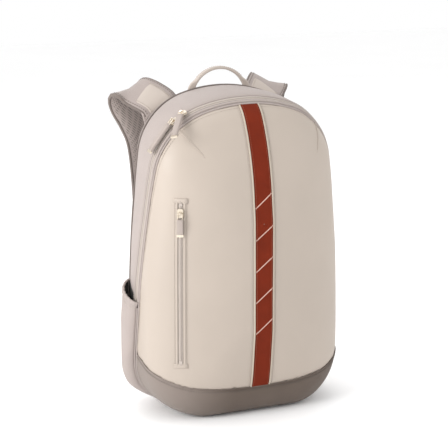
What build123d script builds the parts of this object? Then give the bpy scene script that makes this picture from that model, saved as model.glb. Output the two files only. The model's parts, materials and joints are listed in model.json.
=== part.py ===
from build123d import *
import os
from math import atan2, cos, radians, sin, sqrt

# A soft day backpack with a padded racket compartment, standing upright on its base.
# Frame: millimetres, +Z up, the outer front faces -Y and the wearer's side faces +Y.
# The origin is the centre of the base, at floor level.

# ---- driving dimensions -------------------------------------------------------------
HALF_WIDTH = 160            # widest half width of the body
SIDE_R = 2200               # side walls bow outward on this radius
SIDE_Z = 120                # height where the body is widest
CORNER_R = 80               # bottom corners, seen from the front
SHOULDER_R = 105            # upper corners, seen from the front
CROWN_R = 225               # top, seen from the front
FRONT_Y = -95               # foremost point of the front panel
BACK_SEAM_Y = 60            # where the side band meets the back panel
WALL = 3                    # fabric and foam together
GAP = 0.3                   # clearance between sewn layers
CUT = 0.1                   # half of the gap left at each seam

# Cross-sections from front to back: depth behind the front, half width, lowest, highest.
SECTIONS = [
    (3, 44, 112, 322),
    (8, 71, 68, 362),
    (16, 97, 34, 397),
    (28, 123, 10, 431),
    (45, 145, 0, 461),
    (65, 158, -2, 476),
    (90, 160, -2, 484),
    (125, 159.5, -2, 487),
    (155, 153, -1, 487),
    (175, 146, 4, 483),
]
BACK_Y = FRONT_Y + SECTIONS[-1][0]

# The front seam lies in one plane, further forward at the top than at the foot.
SEAM_FOOT_Y = 30
SEAM_SLOPE = 0.15

# Base seam on the front, seen from the front: lowest in the middle.
BASE_SEAM_Z = 47
BASE_SEAM_RISE = 22
BASE_SEAM_POWER = 2.2
BOTTOM_HALF = 95            # half width of the dark bottom panel

STRIPE_HALF = 14            # centre stripe
PIPE_WIDTH = 2.6
LINE_COUNT = 5
LINE_TOP_Z = 332
LINE_STEP = 47.3
LINE_WIDTH = 2.0
LINE_TILT = 38

# Main zip, sewn into the side band just behind the front seam.
ZIP_LOW_Z = 172
ZIP_PANEL = 22
ZIP_CENTRE = 12             # distance behind the front seam plane
TAPE_WIDTH = 12
COIL_WIDTH = 3

# Front pocket zip: straight, left of the stripe.
POCKET_FOOT = Vector(-123.0, -66.8, 91)
POCKET_HEAD = Vector(-119.4, -62.6, 336)
POCKET_FACING = Vector(-0.53, -0.848, 0)
POCKET_SLOT = 11

POCKET_SLIDER_ALONG = 106   # the slider rests near the upper end

# Sliders of the main zip travel on arcs in the seam plane: centre (x, up), radius, angle.
LEFT_ARC = (-47.9, 373.5)
LEFT_ARC_R = 96.8
LEFT_ANGLE = 130
CROWN_ARC = (0, 251)
CROWN_ARC_R = 228.8
RIGHT_ANGLE = 115.4
SLIDER_LIFT = 3.2
LEFT_SWING = 180            # its pull hangs down along the zip
RIGHT_SWING = 230           # its pull hangs over the front seam
SLIDER_WIDTH = 9
SLIDER_LENGTH = 13
EYE_Z = 6.2
EYE_R = 1.9
EYE_HOLE_R = 1.15
WIRE_R = 0.7
RING_HALF = 3.4
RING_LENGTH = 11
TAB_WIDTH = 9.5
TAB_THICK = 1.8
TIP_LENGTH = 4
MAIN_TAB = 44
POCKET_TAB = 20

# Side pockets.
POCKET_OUT = 177            # how far the pockets stand out from the middle
POCKET_FRONT_Y = 6
POCKET_REAR_Y = 58
POCKET_FLOOR_Z = 14
MOUTH_REAR_Z = 199
MOUTH_FRONT_Z = 173
POCKET_WALL = 1.6
BINDING = 9                 # elastic edge at the mouth

# Shoulder straps: centre points from the seam, over the crest and down the back.
STRAP_WIDTH = 62
STRAP_THICK = 8
STRAP_ROUTE = [
    ((-82, 87.5, 447), (1, 0, 0.15)),
    ((-88, 95, 460), (1, 0, 0.28)),
    ((-100, 109, 470), (1, 0, 0.38)),
    ((-112, 123, 476), (1, 0, 0.42)),
    ((-119, 133, 475.5), (1, 0, 0.42)),
    ((-121, 139, 467), (1, 0, 0.40)),
    ((-117, 137, 452), (1, 0, 0.34)),
    ((-108, 127, 430), (1, 0, 0.24)),
    ((-99, 118, 400), (1, 0, 0.14)),
    ((-93, 116, 345), (1, 0, 0.05)),
    ((-90, 116, 270), (1, 0, -0.05)),
    ((-94, 112, 200), (1, 0, -0.12)),
    ((-103, 106, 140), (1, 0, -0.16)),
]
LAYER = 1.0                 # cover layer on the outer face of a strap
OVERLAY_STATIONS = 5        # it runs from the seam to the crest
OVERLAY_WIDTH = 44
WEBBING = 25
WEBBING_THICK = 1.4
LOCK_WIDTH = 32
LOCK_THICK = 3.4
LOCK_BAR_R = 1.7
ANCHOR = Vector(-120, 84.6, 54)
TAIL_LENGTH = 84

# Carry handle at the top of the back seam.
HANDLE_HALF = 40
HANDLE_Y = 62
HANDLE_PIVOT_Z = 495
HANDLE_TOP_Z = 515
HANDLE_DEPTH = 11
HANDLE_THICK = 4

BIG = 900
NORMAL = Vector(0, 1, SEAM_SLOPE).normalized()
os.makedirs("parts", exist_ok=True)


def save(shape, node):
    """Writes one sub-part under its own name."""
    solids = shape.solids()
    export_step(Compound(children=solids), "parts/" + node + ".step")


def closed_face(*curves):
    """A flat face bounded by curves that meet end to end."""
    return Face(Wire([edge for curve in curves for edge in curve.edges()]))


def at_angle(centre, radius, angle):
    return (centre[0] + radius * cos(angle), centre[1] + radius * sin(angle))


def outline(depth, half, low, high):
    """Closed front-view outline of tangent arcs, standing at one depth."""
    scale = half / HALF_WIDTH
    corner_r = min(CORNER_R * scale, half * 0.9, (high - low) * 0.4)
    shoulder_r = min(SHOULDER_R * scale, half * 0.9)
    crown_r = max(CROWN_R * scale, half * 1.03)
    side_z = min(max(SIDE_Z, low + corner_r), high - crown_r * 0.5)
    side = (half - SIDE_R, side_z)
    drop = low + corner_r - side_z
    corner = (side[0] + sqrt((SIDE_R - corner_r) ** 2 - drop ** 2), low + corner_r)
    crown = (0, high - crown_r)
    # The shoulder circle touches both the side circle and the crown circle.
    reach_side = SIDE_R - shoulder_r
    reach_crown = crown_r - shoulder_r
    span_x = crown[0] - side[0]
    span_z = crown[1] - side[1]
    span = sqrt(span_x ** 2 + span_z ** 2)
    along = (reach_side ** 2 - reach_crown ** 2 + span ** 2) / (2 * span)
    across = sqrt(reach_side ** 2 - along ** 2)
    shoulder = (
        side[0] + (along * span_x - across * span_z) / span,
        side[1] + (along * span_z + across * span_x) / span,
    )
    side_low = atan2(corner[1] - side[1], corner[0] - side[0])
    side_high = atan2(shoulder[1] - side[1], shoulder[0] - side[0])
    crown_low = atan2(shoulder[1] - crown[1], shoulder[0])
    arcs = [
        (corner, corner_r, radians(-90), side_low),
        (side, SIDE_R, side_low, side_high),
        (shoulder, shoulder_r, side_high, crown_low),
        (crown, crown_r, crown_low, radians(180) - crown_low),
    ]
    y = FRONT_Y + depth
    foot = corner[0]
    edges = [Line((-foot, y, low), (foot, y, low))]
    for centre, radius, start, stop in arcs:
        points = [at_angle(centre, radius, a) for a in (start, (start + stop) / 2, stop)]
        edges.append(ThreePointArc(*[(x, y, z) for x, z in points]))
    for centre, radius, start, stop in reversed(arcs[:3]):
        points = [at_angle(centre, radius, a) for a in (stop, (start + stop) / 2, start)]
        edges.append(ThreePointArc(*[(-x, y, z) for x, z in points]))
    return Wire(edges)


def body(grow):
    """The whole outer shape, grown or shrunk by one distance."""
    wires = []
    for index, (depth, half, low, high) in enumerate(SECTIONS):
        shift = 0
        if index < 4:
            shift = -grow
        if index == len(SECTIONS) - 1:
            shift = grow
        wires.append(outline(depth + shift, half + grow, low - grow, high + grow))
    return Solid.make_loft(wires, ruled=True)


def slab(near, far):
    """The space between two planes parallel to the front seam, measured behind it."""
    frame = Plane(origin=(0, SEAM_FOOT_Y, 0), x_dir=(1, 0, 0), z_dir=NORMAL)
    block = Box(BIG, 2 * BIG, far - near, align=(Align.CENTER, Align.CENTER, Align.MIN))
    return frame * Pos(0, 0, near) * block


def region(x0, x1, y0, y1, z0, z1):
    size = (x1 - x0, y1 - y0, z1 - z0)
    return Pos((x0 + x1) / 2, (y0 + y1) / 2, (z0 + z1) / 2) * Box(*size)


def base_seam(x):
    return BASE_SEAM_Z + BASE_SEAM_RISE * (abs(x) / HALF_WIDTH) ** BASE_SEAM_POWER


def below_base_seam(drop):
    """Everything lower than the base seam, as a block with a curved top."""
    reach = 200
    count = 10
    xs = [reach * (2 * i / count - 1) for i in range(count + 1)]
    top = Spline(*[(x, -200, base_seam(x) - drop) for x in xs])
    left = Line((-reach, -200, -50), top @ 0)
    right = Line(top @ 1, (reach, -200, -50))
    floor = Line((reach, -200, -50), (-reach, -200, -50))
    return Solid.extrude(closed_face(left, top, right, floor), Vector(0, 500, 0))


# ---- shell of the body --------------------------------------------------------------
above_floor = region(-BIG, BIG, -BIG, BIG, 0, BIG)
outer = body(0)
inner = body(-WALL)
shell = (outer & above_floor) - inner
ahead = slab(-BIG, -CUT)
low_block = below_base_seam(CUT)
high_block = region(-BIG, BIG, -BIG, BIG, -BIG, BIG) - below_base_seam(-CUT)

rise = (POCKET_HEAD - POCKET_FOOT).normalized()
facing = (POCKET_FACING - rise * POCKET_FACING.dot(rise)).normalized()
pocket_frame = Plane(origin=(POCKET_FOOT + POCKET_HEAD) / 2, x_dir=rise.cross(facing), z_dir=facing)
slot_length = (POCKET_HEAD - POCKET_FOOT).length


def on_pocket_zip(width, length, low, high, along=0, round_r=0.4):
    """A flat block on the pocket zip: low and high are heights off the front panel."""
    block = Box(width, length, high - low, align=(Align.CENTER, Align.CENTER, Align.MIN))
    block = fillet(block.edges().filter_by(Axis.Z), round_r)
    return pocket_frame * Pos(0, along, low) * block


slot = on_pocket_zip(POCKET_SLOT, slot_length, -9, 9)
front_panel = (shell & ahead & high_block) - slot
base_panel = shell & ahead & low_block
save(front_panel, "front_panel")
save(base_panel, "base_panel")

band = shell & slab(CUT, BIG) & region(-BIG, BIG, -BIG, BACK_SEAM_Y - CUT, 0, BIG)
zip_zone = slab(0, ZIP_PANEL) & region(-BIG, BIG, -BIG, BIG, ZIP_LOW_Z - 6, BIG)
zip_zone_grown = slab(-1, ZIP_PANEL + 2 * CUT) & region(-BIG, BIG, -BIG, BIG, ZIP_LOW_Z - 6 - 2 * CUT, BIG)
bottom_zone = region(-BOTTOM_HALF, BOTTOM_HALF, -BIG, BIG, -1, 60)
bottom_grown = region(-BOTTOM_HALF - 2 * CUT, BOTTOM_HALF + 2 * CUT, -BIG, BIG, -1, 60)
save(band & zip_zone, "zip_panel")
save(band & bottom_zone, "bottom_panel")
save(band - zip_zone_grown - bottom_grown, "gusset_band")
back_zone = region(-BIG, BIG, BACK_SEAM_Y + CUT, BIG, 0, BIG)
save(shell & back_zone, "back_panel")

# ---- stripe, piping and main zip, as thin layers on the body ------------------------
skin_low = body(0.6)
skin_tape = body(1.0)
skin_mid = body(1.3)
skin_line = body(1.5)
skin_top = body(2.2)
stripe_zone = slab(-BIG, -2) & high_block
stripe = (skin_mid - skin_low) & region(-STRIPE_HALF, STRIPE_HALF, -BIG, 0, 0, BIG) & stripe_zone
save(stripe, "centre_stripe")
ridge = skin_top - skin_low
near = STRIPE_HALF + GAP
far = near + PIPE_WIDTH
piping_band = region(-far, far, -BIG, 0, 0, BIG) - region(-near, near, -BIG, 0, 0, BIG)
save(ridge & piping_band & stripe_zone, "stripe_pipings")

cap = skin_top - skin_line
lines = []
for index in range(LINE_COUNT):
    bar = Box(2 * STRIPE_HALF / cos(radians(LINE_TILT)) - 3, 60, LINE_WIDTH)
    place = Pos(0, FRONT_Y, LINE_TOP_Z - index * LINE_STEP) * Rot(0, -LINE_TILT, 0)
    lines += ((place * bar) & cap).solids()
save(Compound(children=lines), "stripe_lines")

off_floor = region(-BIG, BIG, -BIG, BIG, 2.5, BIG)
save(ridge & slab(-1.2, 1.2) & off_floor, "front_seam_piping")
back_seam = region(-BIG, BIG, BACK_SEAM_Y - 1.2, BACK_SEAM_Y + 1.2, 2.5, BIG)
save(ridge & back_seam, "back_seam_piping")

above_zip_end = region(-BIG, BIG, -BIG, BIG, ZIP_LOW_Z, BIG)
tape_slab = slab(ZIP_CENTRE - TAPE_WIDTH / 2, ZIP_CENTRE + TAPE_WIDTH / 2)
coil_slab = slab(ZIP_CENTRE - COIL_WIDTH / 2, ZIP_CENTRE + COIL_WIDTH / 2)
save((skin_tape - skin_low) & tape_slab & above_zip_end, "main_zip_tape")
coil_zone = region(-BIG, BIG, -BIG, BIG, ZIP_LOW_Z + 8, BIG)
save(cap & coil_slab & coil_zone, "main_zip_coil")
stop_zone = region(-BIG, BIG, -BIG, BIG, ZIP_LOW_Z + 1, ZIP_LOW_Z + 7)
stop_slab = slab(ZIP_CENTRE - 3, ZIP_CENTRE + 3)
save(cap & stop_slab & stop_zone, "main_zip_stops")

# ---- zip sliders with their pulls ---------------------------------------------------
TOP = Vector(0, -SEAM_SLOPE, 1).normalized()
FOOT = Vector(0, SEAM_FOOT_Y, 0)


def on_seam(x, rise_along, behind):
    """A point given in the plane of the front seam, moved back by one distance."""
    return FOOT + Vector(x, 0, 0) + TOP * rise_along + NORMAL * behind


def arc_frame(centre, radius, angle):
    """A slider's place on an arc of the zip: X across, Y along the zip, Z outward."""
    turn = radians(angle)
    x = centre[0] + radius * cos(turn)
    v = centre[1] + radius * sin(turn)
    out = Vector(cos(turn), 0, 0) + TOP * sin(turn)
    return Plane(origin=on_seam(x, v, ZIP_CENTRE), x_dir=NORMAL, z_dir=out)


def slider_set(frame, lift, swing, tilt, tab_length, prefix):
    """Slider, wire ring, fabric pull and its tip; lift is the height of the slider's sole."""
    sole = frame * Pos(0, 0, lift)
    half_low = Pos(0, 0, 0.5) * Box(SLIDER_WIDTH, SLIDER_LENGTH, 1.0)
    half_high = Pos(0, 0, 2.7) * Box(SLIDER_WIDTH, SLIDER_LENGTH, 1.0)
    neck = Pos(0, SLIDER_LENGTH / 4, 1.6) * Box(2.4, SLIDER_LENGTH / 2, 1.4)
    plates = fillet((half_low + half_high).edges().filter_by(Axis.Z), 2.5) + neck
    turned = sole * Rot(0, 0, swing)
    post = Pos(0, 0, EYE_Z - 1.35) * Box(3, 4, 3.7)
    eye = Pos(0, 0, EYE_Z) * Cylinder(EYE_R, 3, rotation=(0, 90, 0))
    hole = Pos(0, 0, EYE_Z) * Cylinder(EYE_HOLE_R, 10, rotation=(0, 90, 0))
    slider = (sole * plates) + (turned * (post + eye))
    save(slider - (turned * hole), prefix + "_slider")
    hang = turned * Pos(0, 0, EYE_Z) * Rot(tilt, 0, 0)
    bar = Cylinder(WIRE_R, RING_HALF * 2, rotation=(0, 90, 0))
    end_bar = Pos(0, -RING_LENGTH, 0) * Cylinder(WIRE_R, RING_HALF * 2, rotation=(0, 90, 0))
    legs = [
        Pos(side * RING_HALF, -RING_LENGTH / 2, 0) * Cylinder(WIRE_R, RING_LENGTH, rotation=(90, 0, 0))
        for side in (-1, 1)
    ]
    corners = [Pos(side * RING_HALF, y, 0) * Sphere(WIRE_R) for side in (-1, 1) for y in (0, -RING_LENGTH)]
    ring = bar + end_bar + legs + corners
    save(hang * ring, prefix + "_ring")
    start = RING_LENGTH - 2.6
    loop = Pos(0, -RING_LENGTH, 0) * Cylinder(2.2, 5.6, rotation=(0, 90, 0))
    tab = Pos(0, -start - 2.6 - tab_length / 2, 0) * Box(TAB_WIDTH, tab_length, TAB_THICK)
    tab = fillet(tab.edges().filter_by(Axis.Z), 2)
    cut = Pos(0, -RING_LENGTH, 0) * Cylinder(WIRE_R + 0.15, RING_HALF * 2 + 4, rotation=(0, 90, 0))
    room = [
        Pos(side * RING_HALF, -RING_LENGTH / 2, 0) * Box(2.2, RING_LENGTH + 2.2, 2.4) for side in (-1, 1)
    ]
    tab = (loop + tab) - cut - room
    save(hang * tab, prefix + "_pull")
    tip_y = -start - 2.6 - tab_length - 0.2 - TIP_LENGTH / 2
    tip = Pos(0, tip_y, 0) * Box(TAB_WIDTH + 0.8, TIP_LENGTH, TAB_THICK + 0.6)
    tip = fillet(tip.edges().filter_by(Axis.Z), 1.5)
    save(hang * tip, prefix + "_pull_tip")


pocket_place = pocket_frame * Pos(0, POCKET_SLIDER_ALONG, 0)
slider_set(pocket_place, 2.0, 0, 6, POCKET_TAB, "pocket_zip")
left_place = arc_frame(LEFT_ARC, LEFT_ARC_R, LEFT_ANGLE)
slider_set(left_place, SLIDER_LIFT, LEFT_SWING, 15, MAIN_TAB, "main_zip_left")
right_place = arc_frame(CROWN_ARC, CROWN_ARC_R, RIGHT_ANGLE)
slider_set(right_place, SLIDER_LIFT, RIGHT_SWING, 10, MAIN_TAB, "main_zip_right")

save(on_pocket_zip(POCKET_SLOT - 0.6, slot_length - 0.6, -1.5, 0.4), "pocket_zip_tape")
save(on_pocket_zip(COIL_WIDTH, slot_length - 16, 0.5, 1.6), "pocket_zip_coil")
stops = [on_pocket_zip(5, 4, 0.5, 1.8, end * (slot_length / 2 - 4.5)) for end in (-1, 1)]
save(Compound(children=stops), "pocket_zip_stops")

# ---- side pockets -------------------------------------------------------------------
clear_body = body(0.6)
mouth_slope = (MOUTH_REAR_Z - MOUTH_FRONT_Z) / (POCKET_REAR_Y - POCKET_FRONT_Y)


def under_mouth(drop):
    """Everything lower than the slanting pocket mouth, less one distance."""
    near, far = -40, 100
    points = [
        (-BIG / 2, near, MOUTH_FRONT_Z + (near - POCKET_FRONT_Y) * mouth_slope - drop),
        (-BIG / 2, far, MOUTH_FRONT_Z + (far - POCKET_FRONT_Y) * mouth_slope - drop),
        (-BIG / 2, far, -50),
        (-BIG / 2, near, -50),
    ]
    return Solid.extrude(Face(Wire.make_polygon(points)), Vector(BIG, 0, 0))


def pocket_block(inset):
    """The bulging volume of the left pocket, made smaller by one distance."""
    middle_y = (POCKET_FRONT_Y + POCKET_REAR_Y) / 2 + 2
    front = (-HALF_WIDTH + 3, POCKET_FRONT_Y + inset, 0)
    rear = (-HALF_WIDTH + 9, POCKET_REAR_Y - inset, 0)
    crest = (-POCKET_OUT + inset, middle_y, 0)
    bulge = ThreePointArc(front, crest, rear)
    back = Polyline(rear, (-110, POCKET_REAR_Y - inset, 0), (-110, POCKET_FRONT_Y + inset, 0), front)
    prism = Solid.extrude(closed_face(bulge, back), Vector(0, 0, 260))
    low = POCKET_FLOOR_Z + inset
    out = -POCKET_OUT + inset
    corner = ThreePointArc((-128, 0, low), (out + 14, 0, low + 22), (out, 0, low + 66))
    wall = Line((out, 0, low + 66), (out + 3, 0, 260))
    rest = Polyline((out + 3, 0, 260), (-110, 0, 260), (-110, 0, low), (-128, 0, low))
    profile = Pos(0, -50, 0) * closed_face(corner, wall, rest)
    return prism & Solid.extrude(profile, Vector(0, 200, 0))


full = (pocket_block(0) & slab(3, BIG)) - clear_body
hollow = full - (pocket_block(POCKET_WALL) & slab(3 + POCKET_WALL, BIG))
cover = hollow & under_mouth(BINDING + 2 * CUT)
binding = (hollow & under_mouth(0)) - under_mouth(BINDING)
for side in ("left", "right"):
    flip = side == "right"
    save(cover.mirror(Plane.YZ) if flip else cover, "side_pocket_" + side)
    save(binding.mirror(Plane.YZ) if flip else binding, "pocket_binding_" + side)

# ---- shoulder straps ----------------------------------------------------------------
def stations():
    """Section planes along the left strap: X across, -Y on the outer face."""
    points = [Vector(*point) for point, _ in STRAP_ROUTE]
    last = len(points) - 1
    planes = []
    for index, (_, across) in enumerate(STRAP_ROUTE):
        along = points[min(index + 1, last)] - points[max(index - 1, 0)]
        along = along.normalized()
        width = Vector(*across)
        width = (width - along * width.dot(along)).normalized()
        planes.append(Plane(origin=points[index], x_dir=width, z_dir=along))
    return planes


def ribbon(width, thick, height, planes):
    """A flat band along the strap; height is measured towards the outer face."""
    faces = [plane * Pos(0, -height, 0) * Rectangle(width, thick) for plane in planes]
    return Solid.make_loft([face.face().outer_wire() for face in faces], ruled=True)


strap_planes = stations()
pad = ribbon(STRAP_WIDTH, STRAP_THICK, 0, strap_planes)
outer_height = STRAP_THICK / 2 + GAP + LAYER / 2
overlay = ribbon(OVERLAY_WIDTH, LAYER, outer_height, strap_planes[:OVERLAY_STATIONS])
foot = Pos(STRAP_ROUTE[0][0][0], BACK_Y + 3.4, 420) * Box(STRAP_WIDTH + 4, 5, 28)
foot = fillet(foot.edges().filter_by(Axis.Y), 5)

# The ladder lock hangs in a webbing loop at the strap's lower end.
end = strap_planes[-1]
lock_frame = end * Pos(0, 0, 16)
bar_at = Cylinder(LOCK_BAR_R, LOCK_WIDTH - 2, rotation=(0, 90, 0))
loop_ring = Cylinder(LOCK_BAR_R + 1.7, WEBBING, rotation=(0, 90, 0))
loop_plate = Pos(0, 0, -9.2) * Box(WEBBING, 2.6, 12.8)
loop_hole = Cylinder(LOCK_BAR_R + 0.35, WEBBING + 2, rotation=(0, 90, 0))
loop = lock_frame * ((loop_ring + loop_plate) - loop_hole)
rails = [Pos(side * (LOCK_WIDTH / 2 - 1.5), 0, 11) * Box(3, LOCK_THICK, 25.4) for side in (-1, 1)]
bars = [Pos(0, 0, z) * Box(LOCK_WIDTH - 2, LOCK_THICK, 3) for z in (12, 22)]
lock = lock_frame * (bar_at + rails + bars)

# The lower webbing runs from the lock to a tab on the back panel; its tail hangs free.
lock_end = (lock_frame * Pos(0, 0, 25.3)).position
run = ANCHOR - lock_end
run_frame = Plane(origin=lock_end, x_dir=end.x_dir, z_dir=run)
webbing = run_frame * Pos(0, 0, run.length / 2) * Box(WEBBING, WEBBING_THICK, run.length)
tail_top = (lock_frame * Pos(0, -LOCK_THICK / 2 - 1.2, 12)).position
tail = Pos(tail_top.X, tail_top.Y, tail_top.Z - TAIL_LENGTH / 2)
tail = tail * Box(WEBBING, WEBBING_THICK, TAIL_LENGTH)
tab_points = [(-122, 28), (-100, 20), (-106, 56), (-134, 56)]
tab_face = Face(Wire.make_polygon([(x, BACK_Y + 0.4, z) for x, z in tab_points]))
anchor_tab = Solid.extrude(tab_face, Vector(0, 2, 0))

strap_pieces = {
    "strap_pad": pad,
    "strap_overlay": overlay,
    "strap_loop": loop,
    "ladder_lock": lock,
    "strap_webbing": webbing,
    "strap_tail": tail,
}
for name, shape in strap_pieces.items():
    save(shape, name + "_left")
    save(shape.mirror(Plane.YZ), name + "_right")

save(Compound(children=[foot, foot.mirror(Plane.YZ)]), "strap_feet")
save(Compound(children=[anchor_tab, anchor_tab.mirror(Plane.YZ)]), "webbing_tabs")

# ---- carry handle -------------------------------------------------------------------
arch_rise = HANDLE_TOP_Z - HANDLE_PIVOT_Z
arch_r = (HANDLE_HALF ** 2 + arch_rise ** 2) / (2 * arch_rise)
arch_z = HANDLE_TOP_Z - arch_r
inner_r = arch_r - HANDLE_THICK
inner_half = sqrt(inner_r ** 2 - (HANDLE_PIVOT_Z - arch_z) ** 2)
start_y = HANDLE_Y - HANDLE_DEPTH / 2
upper = ThreePointArc(
    (-HANDLE_HALF, start_y, HANDLE_PIVOT_Z),
    (0, start_y, HANDLE_TOP_Z),
    (HANDLE_HALF, start_y, HANDLE_PIVOT_Z),
)
lower = ThreePointArc(
    (inner_half, start_y, HANDLE_PIVOT_Z),
    (0, start_y, HANDLE_TOP_Z - HANDLE_THICK),
    (-inner_half, start_y, HANDLE_PIVOT_Z),
)
joins = [Line(upper @ 1, lower @ 0), Line(lower @ 1, upper @ 0)]
arch = Solid.extrude(closed_face(upper, joins[0], lower, joins[1]), Vector(0, HANDLE_DEPTH, 0))
knob_x = (HANDLE_HALF + inner_half) / 2
knob_width = HANDLE_HALF - inner_half
knobs = [
    Pos(side * knob_x, HANDLE_Y, HANDLE_PIVOT_Z)
    * Cylinder(HANDLE_DEPTH / 2, knob_width, rotation=(0, 90, 0))
    for side in (-1, 1)
]
save(arch + knobs, "carry_handle")
feet = [Pos(side * 41, HANDLE_Y, 487) * Rot(0, side * 11, 0) * Box(20, 20, 1.6) for side in (-1, 1)]
save(Compound(children=feet), "handle_feet")

# ---- back pads ----------------------------------------------------------------------
PAD_THICK = 9


def back_pad(x, z, width, height):
    slab_shape = extrude(RectangleRounded(width, height, 18), PAD_THICK)
    plate = Pos(x, BACK_Y + 0.4, z) * Rot(-90, 0, 0) * slab_shape
    rim = plate.faces().sort_by(Axis.Y)[-1].edges()
    return fillet(rim, 4)


save(back_pad(-66, 262, 92, 268), "back_pad_left")
save(back_pad(66, 262, 92, 268), "back_pad_right")
save(back_pad(0, 82, 180, 74), "lumbar_pad")

# ---- inside -------------------------------------------------------------------------
room = region(-BIG, BIG, -BIG, 40, 5, BIG)
save((body(-WALL - 0.6) - body(-WALL - 1.2)) & room, "lining")
save(region(-112, 112, 74, 75.5, 44, 396), "frame_sheet")
save(region(-108, 108, 69, 73.6, 46, 392), "back_foam")
sleeve = region(-116, 116, 52, 68.6, 36, 330) - region(-114.5, 114.5, 53.5, 67.1, 37.5, 400)
save(sleeve, "laptop_sleeve")
save(region(-120, 120, 40.6, 44.6, 30, 400), "racket_divider")
save(region(-85, 85, -18, 50, 3.2, 5.2), "base_board")
pouch = region(-108, -14, -58, -50, 88, 336) - region(-120, -15, -57, -51, 89, 335)
save(pouch, "front_pocket_pouch")
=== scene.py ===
import json
from math import atan2, cos, pi, radians, sin, sqrt

import bmesh
import bpy
import numpy as np
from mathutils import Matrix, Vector, noise
from mathutils.bvhtree import BVHTree


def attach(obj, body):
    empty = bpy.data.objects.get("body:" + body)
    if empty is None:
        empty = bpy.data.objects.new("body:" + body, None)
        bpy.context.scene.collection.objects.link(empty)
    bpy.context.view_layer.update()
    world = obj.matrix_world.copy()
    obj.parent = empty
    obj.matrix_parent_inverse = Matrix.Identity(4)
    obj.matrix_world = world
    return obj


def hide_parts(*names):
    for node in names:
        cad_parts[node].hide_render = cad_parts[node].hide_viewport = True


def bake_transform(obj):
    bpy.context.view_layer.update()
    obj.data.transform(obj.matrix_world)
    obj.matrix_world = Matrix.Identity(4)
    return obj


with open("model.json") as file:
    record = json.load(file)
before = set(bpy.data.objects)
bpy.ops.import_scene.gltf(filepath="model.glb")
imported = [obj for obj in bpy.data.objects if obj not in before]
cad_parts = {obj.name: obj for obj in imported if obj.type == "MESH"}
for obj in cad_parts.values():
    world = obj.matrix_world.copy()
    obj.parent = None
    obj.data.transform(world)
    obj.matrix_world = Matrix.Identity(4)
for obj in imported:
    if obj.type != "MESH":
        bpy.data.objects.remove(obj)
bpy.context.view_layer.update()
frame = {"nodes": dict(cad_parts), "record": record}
MM = 0.001

# ---- camera, floor and light ---------------------------------------------------------
TARGET = Vector((0, 0, 0.245))
DISTANCE = 2.4
AZIMUTH = radians(-25.5)
ELEVATION = radians(12.5)
LENS = 126.3
SHIFT = (-0.0279, 0.0513)
FLOOR_REACH = 6.0
FLOOR_Z = -0.0005           # just under the lowest cloth
LIGHTS = [                  # name, place, size, power
    ("key", (-2.4, -0.55, 1.1), 1.3, 47),
    ("fill", (2.2, -1.2, 1.0), 1.6, 9),
    ("top", (0.1, 0.3, 2.3), 1.4, 7),
    ("back", (0.4, 2.4, 1.4), 1.8, 10),
]


def add_camera():
    away = Vector((sin(AZIMUTH) * cos(ELEVATION), -cos(AZIMUTH) * cos(ELEVATION), sin(ELEVATION)))
    data = bpy.data.cameras.new("camera")
    data.lens = LENS
    data.sensor_width = 36
    data.shift_x, data.shift_y = SHIFT
    camera = bpy.data.objects.new("camera", data)
    camera.location = TARGET + away * DISTANCE
    camera.rotation_euler = (-away).to_track_quat("-Z", "Y").to_euler()
    bpy.context.scene.collection.objects.link(camera)
    bpy.context.scene.camera = camera


def add_light(name, place, size, power):
    data = bpy.data.lights.new(name, "AREA")
    data.shape = "DISK"
    data.size = size
    data.energy = power
    light = bpy.data.objects.new(name, data)
    light.location = place
    light.rotation_euler = (TARGET - Vector(place)).to_track_quat("-Z", "Y").to_euler()
    bpy.context.scene.collection.objects.link(light)


def add_stage():
    scene = bpy.context.scene
    world = bpy.data.worlds.new("studio")
    world.use_nodes = True
    background = world.node_tree.nodes["Background"]
    background.inputs["Color"].default_value = (1, 1, 1, 1)
    background.inputs["Strength"].default_value = 1.0
    scene.world = world
    scene.view_settings.view_transform = "Standard"
    for light in LIGHTS:
        add_light(*light)
    mesh = bpy.data.meshes.new("floor")
    corners = [(x * FLOOR_REACH, y * FLOOR_REACH, FLOOR_Z) for x, y in ((-1, -1), (1, -1), (1, 1), (-1, 1))]
    mesh.from_pydata(corners, [], [(0, 1, 2, 3)])
    floor = bpy.data.objects.new("floor", mesh)
    scene.collection.objects.link(floor)
    floor.data.materials.append(plain("floor_paint", (0.995, 0.995, 0.995), 0.6))


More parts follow.
